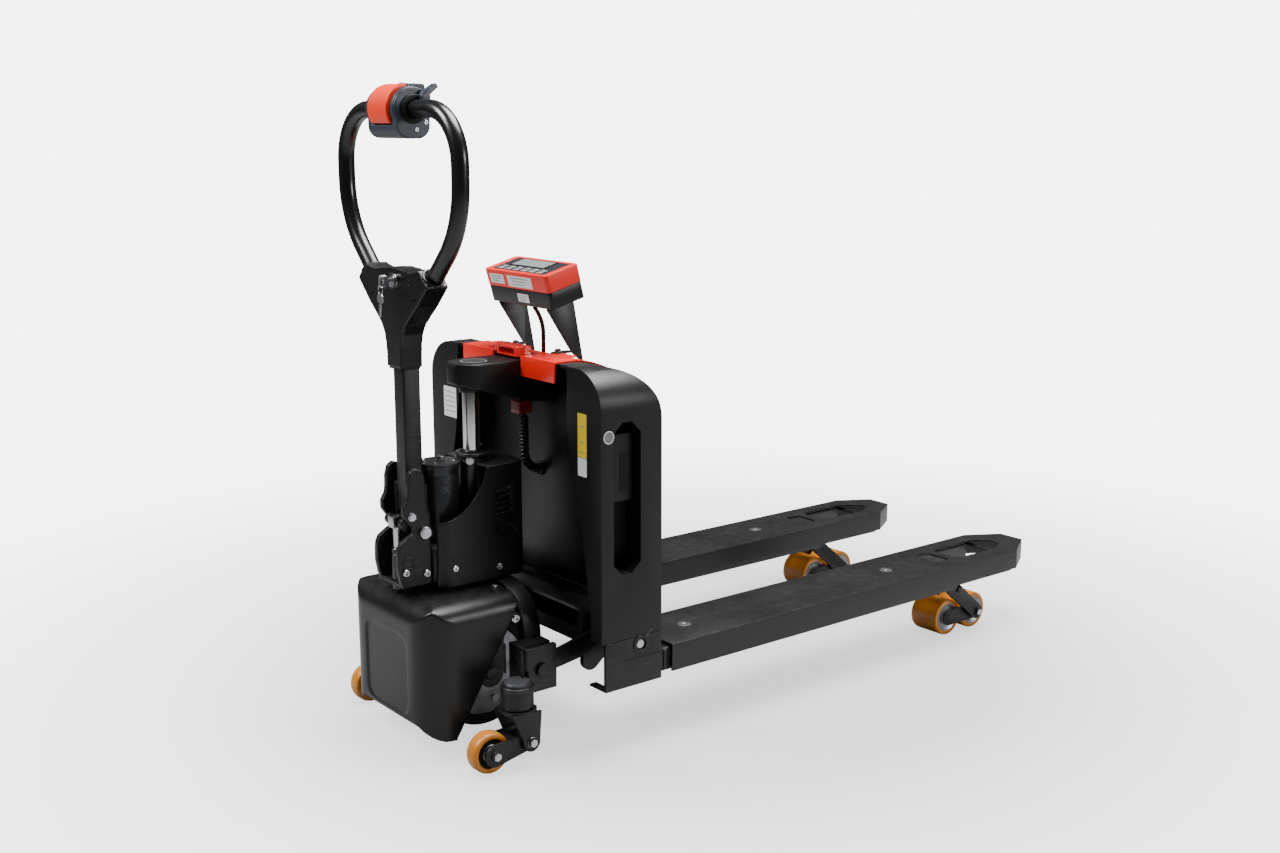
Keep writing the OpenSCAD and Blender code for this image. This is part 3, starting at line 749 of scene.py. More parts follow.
def measure(bm: BMesh) -> tuple[float, float, int]:
    """Return a mesh's volume, its area and how many edges don't join two faces."""
    loose = sum(1 for e in bm.edges if len(e.link_faces) != 2)
    return abs(bm.calc_volume()), sum(f.calc_area() for f in bm.faces), loose


def softened(mesh: bpy.types.Mesh, edge: float, segments: int, angle: float) -> BMesh:
    """Round a mesh's sharp edges as far as its form stays whole.

    Args:
        mesh: the source mesh.
        edge: wanted rounding width.
        segments: segments of the rounding.
        angle: smallest angle that is rounded, in degrees.

    Returns:
        The rounded mesh.
    """
    source = bmesh.new()
    source.from_mesh(mesh)
    clean(source, False)
    volume, area, loose = measure(source)
    for flatten, share in SOFTENING_TRIES:
        bm = bmesh.new()
        bm.from_mesh(mesh)
        clean(bm, flatten)
        bevel_sharp(bm, edge * share, segments, angle)
        bmesh.ops.triangulate(bm, faces=[f for f in bm.faces if len(f.verts) > 4])
        now_volume, now_area, now_loose = measure(bm)
        kept = abs(now_volume / volume - 1) < VOLUME_SLACK and abs(now_area / area - 1) < AREA_SLACK
        if kept and now_loose <= loose:
            source.free()
            return bm
        bm.free()
    return source


def worked(node: str, cuts: Iterable[Piece] = (), adds: Iterable[Piece] = ()) -> Piece:
    """Copy a CAD node and cut or join tools to it.

    Args:
        node: the CAD node.
        cuts: tools taken away from it, removed afterwards.
        adds: solids joined to it, removed afterwards.

    Returns:
        The copy, standing for the node.
    """
    bm = bmesh.new()
    bm.from_mesh(frame["nodes"][node].data)
    clean(bm, False)
    work = new_object(f"{node}_form", bm)
    tools = [(tool, "DIFFERENCE") for tool in cuts] + [(tool, "UNION") for tool in adds]
    for tool, operation in tools:
        step = work.modifiers.new("tool", "BOOLEAN")
        step.operation, step.solver, step.object = operation, "EXACT", tool
    settle(work)
    for tool, _ in tools:
        bpy.data.objects.remove(tool)
    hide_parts(node)
    return work


def settle(work: Piece) -> None:
    """Turn an object's modifiers into its mesh."""
    if not work.modifiers:
        return
    bpy.context.view_layer.update()
    done = bpy.data.meshes.new_from_object(work.evaluated_get(bpy.context.evaluated_depsgraph_get()))
    work.modifiers.clear()
    work.data = done


def shaped(
    node: str, edge: float = 0.001, segments: int = 3, cuts: Iterable[Piece] = (),
    adds: Iterable[Piece] = (), angle: float = 30.0,
) -> Piece:
    """Return a new piece made from a CAD node: cut, joined and with rounded edges.

    Args:
        node: the CAD node it stands for.
        edge: rounding of its sharp edges.
        segments: segments of the rounding.
        cuts: tools taken away from it, removed afterwards.
        adds: solids joined to it, removed afterwards.
        angle: smallest angle that is rounded, in degrees.

    Returns:
        The piece.
    """
    work = worked(node, cuts, adds)
    bm = softened(work.data, edge, segments, angle)
    work.data.clear_geometry()
    bm.to_mesh(work.data)
    bm.free()
    crease(work.data)
    return work


def moulded(
    node: str, voxel: float = 0.0016, passes: int = 5, cuts: Iterable[Piece] = (),
    adds: Iterable[Piece] = (),
) -> Piece:
    """Return a soft cast or moulded piece made from a CAD node, with flowing edges.

    Args:
        node: the CAD node it stands for.
        voxel: size of the even mesh.
        passes: how often it is smoothed.
        cuts: tools taken away from it, removed afterwards.
        adds: solids joined to it, removed afterwards.

    Returns:
        The piece.
    """
    work = worked(node, cuts, adds)
    even = work.modifiers.new("even", "REMESH")
    even.mode, even.voxel_size, even.use_smooth_shade = "VOXEL", voxel, True
    soft = work.modifiers.new("soft", "SMOOTH")
    soft.factor, soft.iterations = 0.5, passes
    settle(work)
    work.data.polygons.foreach_set("use_smooth", [True] * len(work.data.polygons))
    return work


def dress(piece: Piece, finish: Finish, body: str) -> Piece:
    """Give a piece its finish and body.

    Args:
        piece: the piece.
        finish: its finish.
        body: the CAD body it moves with.

    Returns:
        The piece.
    """
    if not piece.data.materials:
        piece.data.materials.append(finish.material())
    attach(piece, body)
    return piece


def hex_bolt(
    name: str, origin: Vector, out: Sequence[float], across: float, height: float, washer: float = 0.0,
) -> Piece:
    """Make a hexagon head with a chamfered top and a washer.

    Args:
        name: the object's name.
        origin: centre of the face it sits on.
        out: direction it points.
        across: width across the flats.
        height: head height.
        washer: radius of the washer, 0 for none.

    Returns:
        The bolt's head.
    """
    place = axes(origin, out)
    base = 0.0012 if washer else 0.0
    corners = circle(across / 2 / math.cos(math.pi / 6), 6)
    pieces = [
        prism(
            f"{name}_hex", corners, height, place @ Matrix.Translation((0, 0, base)),
            edge=height * 0.12, segments=2,
        )
    ]
    pieces.append(
        lathe(
            f"{name}_crown",
            [(across * 0.42, 0), (across * 0.42, height + base + 0.0003), (0, height + base + 0.0003)],
            place, steps=28,
        )
    )
    if washer:
        pieces.append(
            lathe(f"{name}_washer", [(0, 0), (washer, 0), (washer, base), (0, base)], place, 0.0003, 32)
        )
    return merged(name, pieces)


def socket_screw(
    name: str, origin: Vector, out: Sequence[float], radius: float, height: float,
) -> Piece:
    """Make a round screw head with a hexagon socket.

    Args:
        name: the object's name.
        origin: centre of the face it sits on.
        out: direction it points.
        radius: head radius.
        height: head height.

    Returns:
        The screw's head.
    """
    place = axes(origin, out)
    steps = 24
    bm = bmesh.new()
    depth = height * 0.3
    rings = []
    for r, z in (
        (radius, 0), (radius, height * 0.75), (radius * 0.86, height), (radius * 0.62, height),
    ):
        rings.append([bm.verts.new((x, y, z)) for x, y in circle(r, steps)])
    inner = radius * 0.5 / math.cos(math.pi / 6)
    for z in (height, depth):
        ring = []
        for i in range(steps):
            turn = i * math.tau / steps
            reach = inner * math.cos(math.pi / 6) / math.cos((turn % (math.pi / 3)) - math.pi / 6)
            ring.append(bm.verts.new((reach * math.cos(turn), reach * math.sin(turn), z)))
        rings.append(ring)
    skin(bm, rings)
    bmesh.ops.transform(bm, matrix=place, verts=bm.verts)
    return new_object(name, bm, 25.0)


def plate(
    name: str, centre: Vector, out: Sequence[float], across: Sequence[float], width: float,
    height: float, thick: float = 0.0005, radius: float = 0.003,
) -> Piece:
    """Make a thin rounded plate or label.

    Args:
        name: the object's name.
        centre: centre of its back.
        out: its normal.
        across: direction of its width.
        width: size along `across`.
        height: the other size.
        thick: thickness.
        radius: corner radius.

    Returns:
        The plate.
    """
    place = axes(centre, out, across)
    return prism(name, rounded_rectangle(width, height, radius), thick, place, thick * 0.3, 2)


def ring(
    name: str, origin: Vector, out: Sequence[float], outer: float, inner: float, height: float,
    edge: float = 0.0006,
) -> Piece:
    """Make a flat ring with rounded edges, standing along `out` from its origin."""
    profile = [(inner, 0), (outer, 0), (outer, height), (inner, height)]
    return lathe(name, profile, axes(origin, out), min(edge, height * 0.4, (outer - inner) * 0.4), 48)


def weld_bead(name: str, start: Vector, end: Vector, radius: float = 0.0028) -> Piece:
    """Make a rippled weld bead between two points."""
    length = (end - start).length
    count = max(int(length / 0.0022), 6)
    along = (end - start) / count
    bm = bmesh.new()
    side = along.orthogonal().normalized()
    up = along.normalized().cross(side)
    rings = []
    for i in range(count + 1):
        swell = radius * (0.82 + 0.18 * math.cos(i * 2.4) + 0.05 * math.sin(i * 5.1))
        centre = start + along * i
        rings.append([bm.verts.new(centre + side * x + up * y) for x, y in circle(swell, 8)])
    skin(bm, rings)
    return new_object(name, bm, 60.0)


class Side(Enum):
    """The two sides of the truck, as the sign of Y."""

    LEFT = 1
    RIGHT = -1

    @property
    def word(self) -> str:
        """The side's name in node and body names."""
        return self.name.lower()

    @property
    def out(self) -> Point3:
        """The direction out of this side."""
        return (0, self.value, 0)

    def y(self, value: float) -> float:
        """Put a distance from the middle plane on this side."""
        return self.value * value


# ---- drive end ---------------------------------------------------------------------


@dataclass
class DriveEnd:
    """Saddle, moulded cover and caster cups that stay with the base."""

    screw_radius: float = 0.0065
    body: str = "base"

    def build(self) -> None:
        """Build the fixed drive end."""
        self.build_cover()
        self.build_saddle()
        self.build_cups()

    def build_cover(self) -> None:
        """Moulded cover with a pressed front field and its screws."""
        span = Span.of("drive_cover")
        front = Vector((span.low.x, 0, span.low.z + span.size.z * 0.44))
        outer = prism(
            "cover_field", rounded_rectangle(0.15, 0.15, 0.03), 0.02,
            axes(front + Vector((-0.018, 0, 0)), AHEAD),
        )
        cover = moulded("drive_cover", 0.0024, 5, cuts=[outer])
        dress(cover, COVER, self.body)
        back = span.high.x - 0.012
        for side in Side:
            spots = [
                (Vector((back - 0.004, side.y(0.088), span.high.z - 0.0008)), UP),
                (Vector((back + 0.002, side.y(span.high.y - 0.0008), span.high.z - 0.045)), side.out),
            ]
            for i, (spot, out) in enumerate(spots):
                dress(
                    socket_screw(f"cover_screw_{side.word}_{i}", spot, out, self.screw_radius, 0.004),
                    ZINC, self.body,
                )
                rim = ring(f"cover_screw_rim_{side.word}_{i}", spot, out, 0.0105, 0.0078, 0.0014)
                dress(rim, COVER, self.body)

    def build_saddle(self) -> None:
        """Welded bridge with beads along its clevis ears."""
        span = Span.of("saddle")
        dress(shaped("saddle", 0.0022, 3), POWDER, self.body)
        for side in Side:
            for y in (0.1506, 0.2054):
                a = Vector((span.low.x + 0.0172, side.y(y), 0.199))
                b = Vector((span.low.x + 0.0172, side.y(y), 0.145))
                dress(weld_bead(f"ear_weld_{side.word}_{int(y * 1e4)}", a, b), POWDER, self.body)

    def build_cups(self) -> None:
        """Caster cups with grey caps and a groove."""
        dress(shaped("caster_housings", 0.0016, 3), POWDER, self.body)
        span = Span.of("caster_housings")
        for side in Side:
            yoke = Span.of(f"caster_yoke_{side.word}")
            centre = Vector((span.mid.x, side.y(span.high.y - 0.029), 0))
            top = Vector((centre.x, centre.y, span.high.z))
            cap = [(0, 0), (0.0235, 0), (0.0235, 0.0008), (0.022, 0.0024), (0, 0.003)]
            dress(
                lathe(f"caster_cap_{side.word}", cap, axes(top - Vector((0, 0, 0.0004)), UP)), CAP_GREY,
                self.body,
            )
            low = Vector((centre.x, centre.y, yoke.high.z - 0.002))
            dress(ring(f"cup_rim_{side.word}", low, UP, 0.0302, 0.028, 0.004), POWDER, self.body)


@dataclass
class Caster:
    """One sprung side caster: yoke, swing arm and wheel."""

    side: Side
    tread: float = 0.0065
    bolt_across: float = 0.013

    def build(self) -> None:
        """Build the yoke, the arm and the wheel."""
        w = self.side.word
        yoke, arm, wheel = (Span.of(f"caster_{part}_{w}") for part in ("yoke", "arm", "wheel"))
        dress(shaped(f"caster_yoke_{w}", 0.0012, 2), POWDER, f"caster_yoke_{w}")
        dress(shaped(f"caster_arm_{w}", 0.0012, 2), POWDER, f"caster_arm_{w}")
        self.build_wheel(wheel)
        axle = wheel.mid
        pivot = Vector((yoke.mid.x + 0.008, wheel.mid.y, 0.046))
        for out in (1, -1):
            end = "out" if out == self.side.value else "in"
            spot = Vector((axle.x, arm.mid.y + out * arm.size.y / 2, axle.z))
            bolt = hex_bolt(
                f"axle_bolt_{w}_{end}", spot - Vector((0, out * 0.0048, 0)), (0, out, 0),
                self.bolt_across, 0.0055, 0.0095,
            )
            dress(bolt, ZINC, f"caster_arm_{w}")
            spot = Vector((pivot.x, yoke.mid.y + out * yoke.size.y / 2, pivot.z))
            bolt = hex_bolt(
                f"swing_bolt_{w}_{end}", spot - Vector((0, out * 0.005, 0)), (0, out, 0),
                self.bolt_across, 0.0055, 0.0095,
            )
            dress(bolt, ZINC, f"caster_yoke_{w}")

    def build_wheel(self, wheel: Span) -> None:
        """Amber tread on a hub with a sealed bearing.

        Args:
            wheel: the wheel's box.
        """
        w, body = self.side.word, f"caster_wheel_{self.side.word}"
        radius, half = wheel.size.z / 2, 0.014
        place = axes(wheel.mid, (0, 1, 0))
        core = radius - self.tread - 0.004
        tread = lathe(
            f"caster_tread_{w}",
            both_ends([(core, -half), (radius - 0.002, -half), (radius, -half * 0.55)]), place, 0.003,
            64,
        )
        dress(tread, AMBER, body)
        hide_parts(f"caster_wheel_{w}")
        hub = [
            (0.0061, -half - 0.004), (0.0105, -half - 0.004), (0.0112, -half + 0.001),
            (0.018, -half + 0.0035), (core - 0.003, -half + 0.002), (core, -half + 0.0005),
        ]
        dress(lathe(f"caster_core_{w}", both_ends(hub), place, 0.0008, 48), DARK, body)
        for out in (1, -1):
            spot = wheel.mid + Vector((0, out * (half - 0.003), 0))
            dress(
                ring(
                    f"caster_bearing_{w}_{'a' if out > 0 else 'b'}", spot, (0, out, 0), 0.0172, 0.0125,
                    0.0024,
                ),
                ZINC, body,
            )


# ---- steered power unit ------------------------------------------------------------


@dataclass
class PowerUnit:
    """Steered fork, drive wheel, pump, motor, lift cylinder, cover and tiller bracket."""

    louvres: int = 5
    body: str = "power_unit"

    def build(self) -> None:
        """Build the steered unit."""
        dress(shaped("drive_fork", 0.002, 3), GREY_PAINT, self.body)
        dress(shaped("pump_block", 0.0018, 3), GREY_PAINT, self.body)
        self.build_wheel()
        self.build_cylinder()
        self.build_motor()
        self.build_cover()
        self.build_bracket()
        self.build_hose()

    def build_wheel(self) -> None:
        """Grooved drive tyre on a ribbed hub."""
        span = Span.of("drive_tyre")
        hub = Span.of("drive_hub")
        place = axes(span.mid, (0, 1, 0))
        radius, half, core = span.size.z / 2, span.size.y / 2, 0.0852
        profile = [(core, -half + 0.003), (radius - 0.006, -half), (radius, -half + 0.006)]
        for i in (-1, 0, 1):
            groove = i * half * 0.5
            profile += [
                (radius, groove - 0.0022), (radius - 0.004, groove - 0.0012),
                (radius - 0.004, groove + 0.0012), (radius, groove + 0.0022),
            ]
        profile += [(radius, half - 0.006), (radius - 0.006, half), (core, half - 0.003)]
        tyre = lathe("drive_tread", profile, place, 0.0012, 96)
        dress(tyre, TYRE, "drive_wheel")
        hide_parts("drive_tyre")
        bolts = [
            hex_bolt(
                f"hub_bolt_{i}",
                span.mid + Vector(
                    (0.06 * math.cos(i * math.tau / 5), -0.0305, 0.06 * math.sin(i * math.tau / 5))
                ),
                (0, -1, 0), 0.013, 0.0045,
            )
            for i in range(5)
        ]
        dress(shaped("drive_hub", 0.0015, 3), CAST, "drive_wheel")
        dress(merged("hub_bolts", bolts), ZINC, "drive_wheel")
        log.info("drive wheel %.0f mm, hub %.0f mm", radius * 2000, hub.size.z * 1000)

    def build_cylinder(self) -> None:
        """Lift cylinder with its gland nut, wiper and port plug."""
        span = Span.of("lift_cylinder")
        dress(shaped("lift_cylinder", 0.0016, 3), GUNMETAL, self.body)
        top = Vector((span.mid.x, 0, span.high.z))
        dress(
            ring("cylinder_wiper", top - Vector((0, 0, 0.0006)), UP, 0.0215, 0.0158, 0.0028), CABLE,
            self.body,
        )
        for i, z in enumerate((0.004, 0.0135)):
            dress(
                ring(
                    f"cylinder_band_{i}", Vector((top.x, 0, span.high.z - 0.019 + z)), UP, 0.0318,
                    0.0305, 0.0022,
                ),
                GUNMETAL, self.body,
            )
        plug = Vector((span.mid.x - 0.018, -0.0225, span.high.z - 0.012))
        dress(hex_bolt("port_plug", plug, (-0.45, -1, 0), 0.011, 0.007, 0.008), ZINC, self.body)
        dress(
            lathe(
                "breather", [(0, 0), (0.006, 0), (0.006, 0.007), (0.0045, 0.01), (0, 0.011)],
                axes(Vector((span.mid.x + 0.026, 0.006, span.high.z - 0.001)), UP), 0.001,
            ),
            CAP_GREY, self.body,
        )

    def build_motor(self) -> None:
        """Pump motor with cooling ribs, an end cap and a bleed screw."""
        span = Span.of("motor")
        centre = Vector((span.mid.x, 0, 0))
        shell_r, z0, z1 = 0.0358, 0.366, span.high.z - 0.0158
        profile: list[Point2] = [(0, z0), (shell_r, z0)]
        for k in range(9):
            z = z1 - 0.05 + k * 0.004
            profile += [
                (shell_r, z), (shell_r - 0.0009, z + 0.0005), (shell_r - 0.0009, z + 0.002),
                (shell_r, z + 0.0025),
            ]
        profile += [
            (shell_r, z1 - 0.006), (0.0385, z1 - 0.005), (0.0385, z1 + 0.0045), (0.034, z1 + 0.0052),
            (0.016, z1 + 0.0056), (0, z1 + 0.0056),
        ]
        motor = lathe("motor_shell", profile, axes(centre, UP), 0.0004, 72)
        dress(motor, GUNMETAL, self.body)
        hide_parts("motor")
        top = Vector((centre.x, 0, z1 + 0.0052))
        dress(
            lathe(
                "bleed_screw",
                [
                    (0, 0), (0.007, 0), (0.007, 0.002), (0.0048, 0.0022), (0.0048, 0.0075),
                    (0.0036, 0.0095), (0, 0.0102),
                ],
                axes(top, UP), 0.0006,
            ),
            CAP_GREY, self.body,
        )
        for i in range(4):
            turn = math.radians(45 + 90 * i)
            spot = top + Vector((0.027 * math.cos(turn), 0.027 * math.sin(turn), -0.0004))
            dress(socket_screw(f"motor_screw_{i}", spot, UP, 0.0034, 0.0026), ZINC, self.body)

    def build_cover(self) -> None:
        """Pump cover with louvres, a swept recess and a lower step."""
        span = Span.of("pump_cover")
        cuts = []
        for side in Side:
            face = side.y(span.high.y)
            for i in range(self.louvres):
                spot = Vector(
                    (span.high.x - 0.052, face - side.y(0.002), span.high.z - 0.045 - i * 0.0105)
                )
                cuts.append(
                    prism(
                        f"louvre_{side.word}_{i}", rounded_rectangle(0.034, 0.0042, 0.002), 0.012,
                        axes(spot - Vector((0, side.y(0.004), 0)), side.out, (1, 0, 0.1)),
                    )
                )
            swoosh = [(-0.02, -0.006), (0.024, -0.014), (0.03, -0.004), (0.01, 0.008), (-0.016, 0.012)]
            spot = Vector((span.high.x - 0.05, face - side.y(0.0012), span.low.z + 0.09))
            cuts.append(
                prism(
                    f"recess_{side.word}", fillet(swoosh, 0.006, 4, closed=True), 0.01,
                    axes(spot, side.out, AHEAD),
                )
            )
        cover = moulded("pump_cover", 0.0014, 3, cuts=cuts)
        dress(cover, COVER, self.body)
        for side in Side:
            for i, (dx, dz) in enumerate(((-0.065, 0.035), (0.028, 0.022))):
                spot = Vector((span.mid.x + dx, side.y(span.high.y - 0.0004), span.low.z + dz))
                dress(
                    socket_screw(f"pump_cover_screw_{side.word}_{i}", spot, side.out, 0.006, 0.0035),
                    ZINC, self.body,
                )
            rib = [(-0.075, 0), (0.075, 0.012), (0.075, 0.0165), (-0.075, 0.0045)]
            spot = Vector((span.mid.x + 0.005, side.y(span.high.y - 0.0006), span.low.z + 0.05))
            dress(
                prism(f"pump_cover_step_{side.word}", rib, 0.0016, axes(spot, side.out, AHEAD), 0.0006),
                COVER, self.body,
            )

    def build_bracket(self) -> None:
        """Cast tiller bracket, its bolts, the pivot pin and the gas spring's body."""
        span = Span.of("tiller_bracket")
        dress(moulded("tiller_bracket", 0.0016, 5), POWDER, self.body)
        dress(shaped("pivot_bolt", 0.0008, 2), ZINC, self.body)
        bolt = Span.of("pivot_bolt")
        for side in Side:
            spot = Vector((bolt.mid.x, side.y(bolt.high.y - 0.0006), bolt.mid.z))
            dress(hex_bolt(f"pivot_nut_{side.word}", spot, side.out, 0.017, 0.003), ZINC, self.body)
            lug = Vector((bolt.mid.x - 0.0235, side.y(span.high.y - 0.0005), bolt.mid.z + 0.031))
            dress(
                hex_bolt(f"lug_bolt_{side.word}", lug, side.out, 0.012, 0.004, 0.0075), ZINC, self.body,
            )
            for i, (dx, dz) in enumerate(((-0.012, 0.022), (-0.054, 0.03))):
                spot = Vector((span.high.x + dx, side.y(span.high.y - 0.0004), span.low.z + dz))
                dress(
                    socket_screw(f"bracket_screw_{side.word}_{i}", spot, side.out, 0.0065, 0.005), ZINC,
                    self.body,
                )
            spot = Vector((span.low.x + 0.021, side.y(span.high.y - 0.0006), span.low.z + 0.045))
            dress(
                ring(f"bracket_boss_{side.word}", spot, side.out, 0.0135, 0.0075, 0.0022, 0.0008),
                POWDER, self.body,
            )
        gas = Span.of("gas_cylinder")
        outer, inner, bore = gas.size.x / 2, 0.0093, gas.high.z - 0.072
        profile = [
            (0, gas.low.z), (outer, gas.low.z), (outer, gas.high.z - 0.012),
            (outer - 0.0008, gas.high.z - 0.011),
        ]
        profile += [
            (outer - 0.0008, gas.high.z - 0.009), (outer, gas.high.z - 0.008),
            (outer, gas.high.z - 0.002),
        ]
        profile += [(outer - 0.002, gas.high.z), (inner, gas.high.z), (inner, bore), (0, bore)]
        body = lathe("gas_spring_body", profile, axes(Vector((gas.mid.x, 0, 0)), UP), 0.0005)
        dress(body, TUBE_PAINT, self.body)
        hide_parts("gas_cylinder")
        dress(shaped("gas_rod", 0.0008, 2), ZINC, "gas_rod")

    def build_hose(self) -> None:
        """Short pressure hose from the block to the cylinder."""
        block, cylinder = Span.of("pump_block"), Span.of("lift_cylinder")
        start = Vector((block.high.x - 0.016, 0.03, block.high.z))
        end = Vector((cylinder.mid.x + 0.02, 0.018, block.high.z + 0.045))
        path = []
        for i in range(25):
            t = i / 24
            lift = math.sin(t * math.pi) * 0.03
            path.append(start.lerp(end, t) + Vector((0.01 * math.sin(t * math.pi), 0, lift)))
        dress(sweep("pressure_hose", path, 0.0045, 14), CABLE, self.body)


# ---- tiller ------------------------------------------------------------------------


@dataclass
class Tiller:
    """Tiller tube, forked cover, bent loop and key lock."""

    tube_radius: float = 0.015
    corner: float = 0.09
    bend: float = 0.17
    bend_height: float = 1.01
    foot_height: float = 0.815
    lean: float = math.radians(45)
    body: str = "tiller"

    def build(self) -> None:
        """Build the tiller below its control head."""
        dress(shaped("tiller_tube", 0.002, 3), POWDER, self.body)
        self.build_cover()
        self.build_loop()
        self.build_lock()

    def build_cover(self) -> None:
        """Forked cover with soft edges, socket rims and screws."""
        span = Span.of("y_cover")
        dress(moulded("y_cover", 0.0017, 7), COVER, self.body)
        for side in Side:
            out = Vector((0, side.y(math.sin(self.lean)), math.cos(self.lean)))
            mouth = Vector((span.mid.x, side.y(span.high.y - 0.0141), span.high.z - 0.0141))
            dress(
                ring(f"socket_rim_{side.word}", mouth - out * 0.003, out, 0.0203, 0.0155, 0.006, 0.002),
                COVER, self.body,
            )
            spot = Vector((span.low.x + 0.0012, side.y(0.072), span.high.z - 0.052))
            dress(
                socket_screw(f"fork_cover_screw_{side.word}", spot, BACK, 0.0042, 0.0024), DARK,
                self.body,
            )
        seam = Vector((span.mid.x, 0, span.low.z - 0.0035))
        outline = rounded_rectangle(0.0405, 0.0455, 0.006)
        dress(prism("cover_foot_lip", outline, 0.005, axes(seam, UP, AHEAD), 0.0014), COVER, self.body)

    def build_loop(self) -> None:
        """Bent tube handle as one smooth sweep."""
        span = Span.of("handle_loop")
        top, half = span.high.z - self.tube_radius, span.high.y - self.tube_radius
        corner, bend, lean = self.corner, self.bend, self.lean
        centre = Vector((span.mid.x, half - bend, self.bend_height))
        low = centre + Vector((0, bend * math.cos(lean), -bend * math.sin(lean)))
        foot = low - Vector((0, math.sin(lean), math.cos(lean))) * (
            (low.z - self.foot_height) / math.cos(lean)
        )
        right = [foot.lerp(low, i / 8) for i in range(8)]
        for i in range(13):
            turn = -lean + lean * i / 12
            right.append(centre + Vector((0, bend * math.cos(turn), bend * math.sin(turn))))
        centre = Vector((span.mid.x, half - corner, top - corner))
        for i in range(25):
            turn = math.radians(90) * i / 24
            right.append(centre + Vector((0, corner * math.cos(turn), corner * math.sin(turn))))
        left = [Vector((p.x, -p.y, p.z)) for p in reversed(right)]
        loop = sweep("handle_tube", right + left, self.tube_radius, 28)
        dress(loop, TUBE_PAINT, self.body)
        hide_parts("handle_loop")

    def build_lock(self) -> None:
        """Key lock with its bezel, the key and a spare on a ring."""
        span = Span.of("key_lock")
        dress(shaped("key_lock", 0.0006, 2), ZINC, self.body)
        dress(
            ring(
                "lock_bezel", Vector((span.high.x - 0.0052, span.mid.y, span.mid.z)), BACK, 0.0135,
                0.0118, 0.0025,
            ),
            CAP_GREY, self.body,
        )
        dress(shaped("key", 0.0007, 2), ZINC, "key")
        key = Span.of("key")
        top = Vector((key.low.x + 0.0035, key.mid.y + 0.002, key.low.z + 0.003))
        loop = [
            top + Vector(
                (
                    0, 0.0075 * math.sin(i * math.tau / 36),
                    -0.0068 + 0.0075 * math.cos(i * math.tau / 36),
                )
            )
            for i in range(37)
        ]
        dress(sweep("key_ring", loop, 0.0007, 8, ends=False), ZINC, "key")
        place = axes(top + Vector((0.0012, 0.002, -0.0225)), BACK, (0, 1, 0.12))
        bow = fillet(
            [
                (-0.0085, -0.006), (0.0085, -0.006), (0.0095, 0.004), (0.005, 0.0095), (-0.005, 0.0095),
                (-0.0095, 0.004),
            ],
            0.003, 4, closed=True,
        )
        blade = [
            (-0.0035, -0.006), (-0.0035, -0.03), (-0.001, -0.033), (0.0022, -0.031), (0.0034, -0.027),
            (0.0022, -0.0245), (0.0034, -0.022), (0.002, -0.0195), (0.0034, -0.0165), (0.0034, -0.006),
        ]
        dress(
            prism("spare_key_bow", [(x, -y) for x, y in reversed(bow)], 0.0018, place, 0.0004, 2), ZINC,
            "key",
        )
        dress(
            prism("spare_key_blade", [(x, -y) for x, y in reversed(blade)], 0.0014, place, 0.0002, 1),
            ZINC, "key",
        )


# ---- control head ------------------------------------------------------------------


@dataclass
class ControlHead:
    """Head around the loop's top tube, with its buttons and paddles."""

    body: str = "tiller"

    def build(self) -> None:
        """Build the head and its controls."""
        span = Span.of("head_housing")
        loop = Span.of("handle_loop")
        dress(moulded("head_housing", 0.0012, 5), SLATE, self.body)
        centre = Vector((loop.mid.x, 0, loop.high.z - 0.015))
        for side in Side:
            spot = Vector((centre.x, side.y(span.high.y - 0.0005), centre.z))
            dress(
                ring(f"head_collar_{side.word}", spot, side.out, 0.024, 0.0153, 0.006, 0.0018), DARK,
                self.body,
            )
            dress(
                ring(
                    f"head_rim_{side.word}", Vector((centre.x, side.y(0.0375), centre.z)), side.out,
                    0.0372, 0.0345, 0.0085, 0.0016,
                ),
                SLATE, self.body,
            )
            for i, (dx, dz) in enumerate(((0.024, -0.022), (0.006, -0.034))):
                spot = Vector((centre.x + dx, side.y(span.high.y - 0.0008), centre.z + dz))
                dress(
                    socket_screw(f"head_screw_{side.word}_{i}", spot, side.out, 0.0036, 0.002), ZINC,
                    self.body,
                )
        button = moulded("belly_button", 0.0011, 7)
        dress(button, ORANGE, "belly_button")
        dress(shaped("throttle", 0.0016, 3), SLATE, "throttle")
        dress(shaped("lift_rocker", 0.001, 3), DARK, "lift_rocker")
        dress(shaped("horn_button", 0.001, 3), ORANGE, "horn_button")


# ---- body --------------------------------------------------------------------------


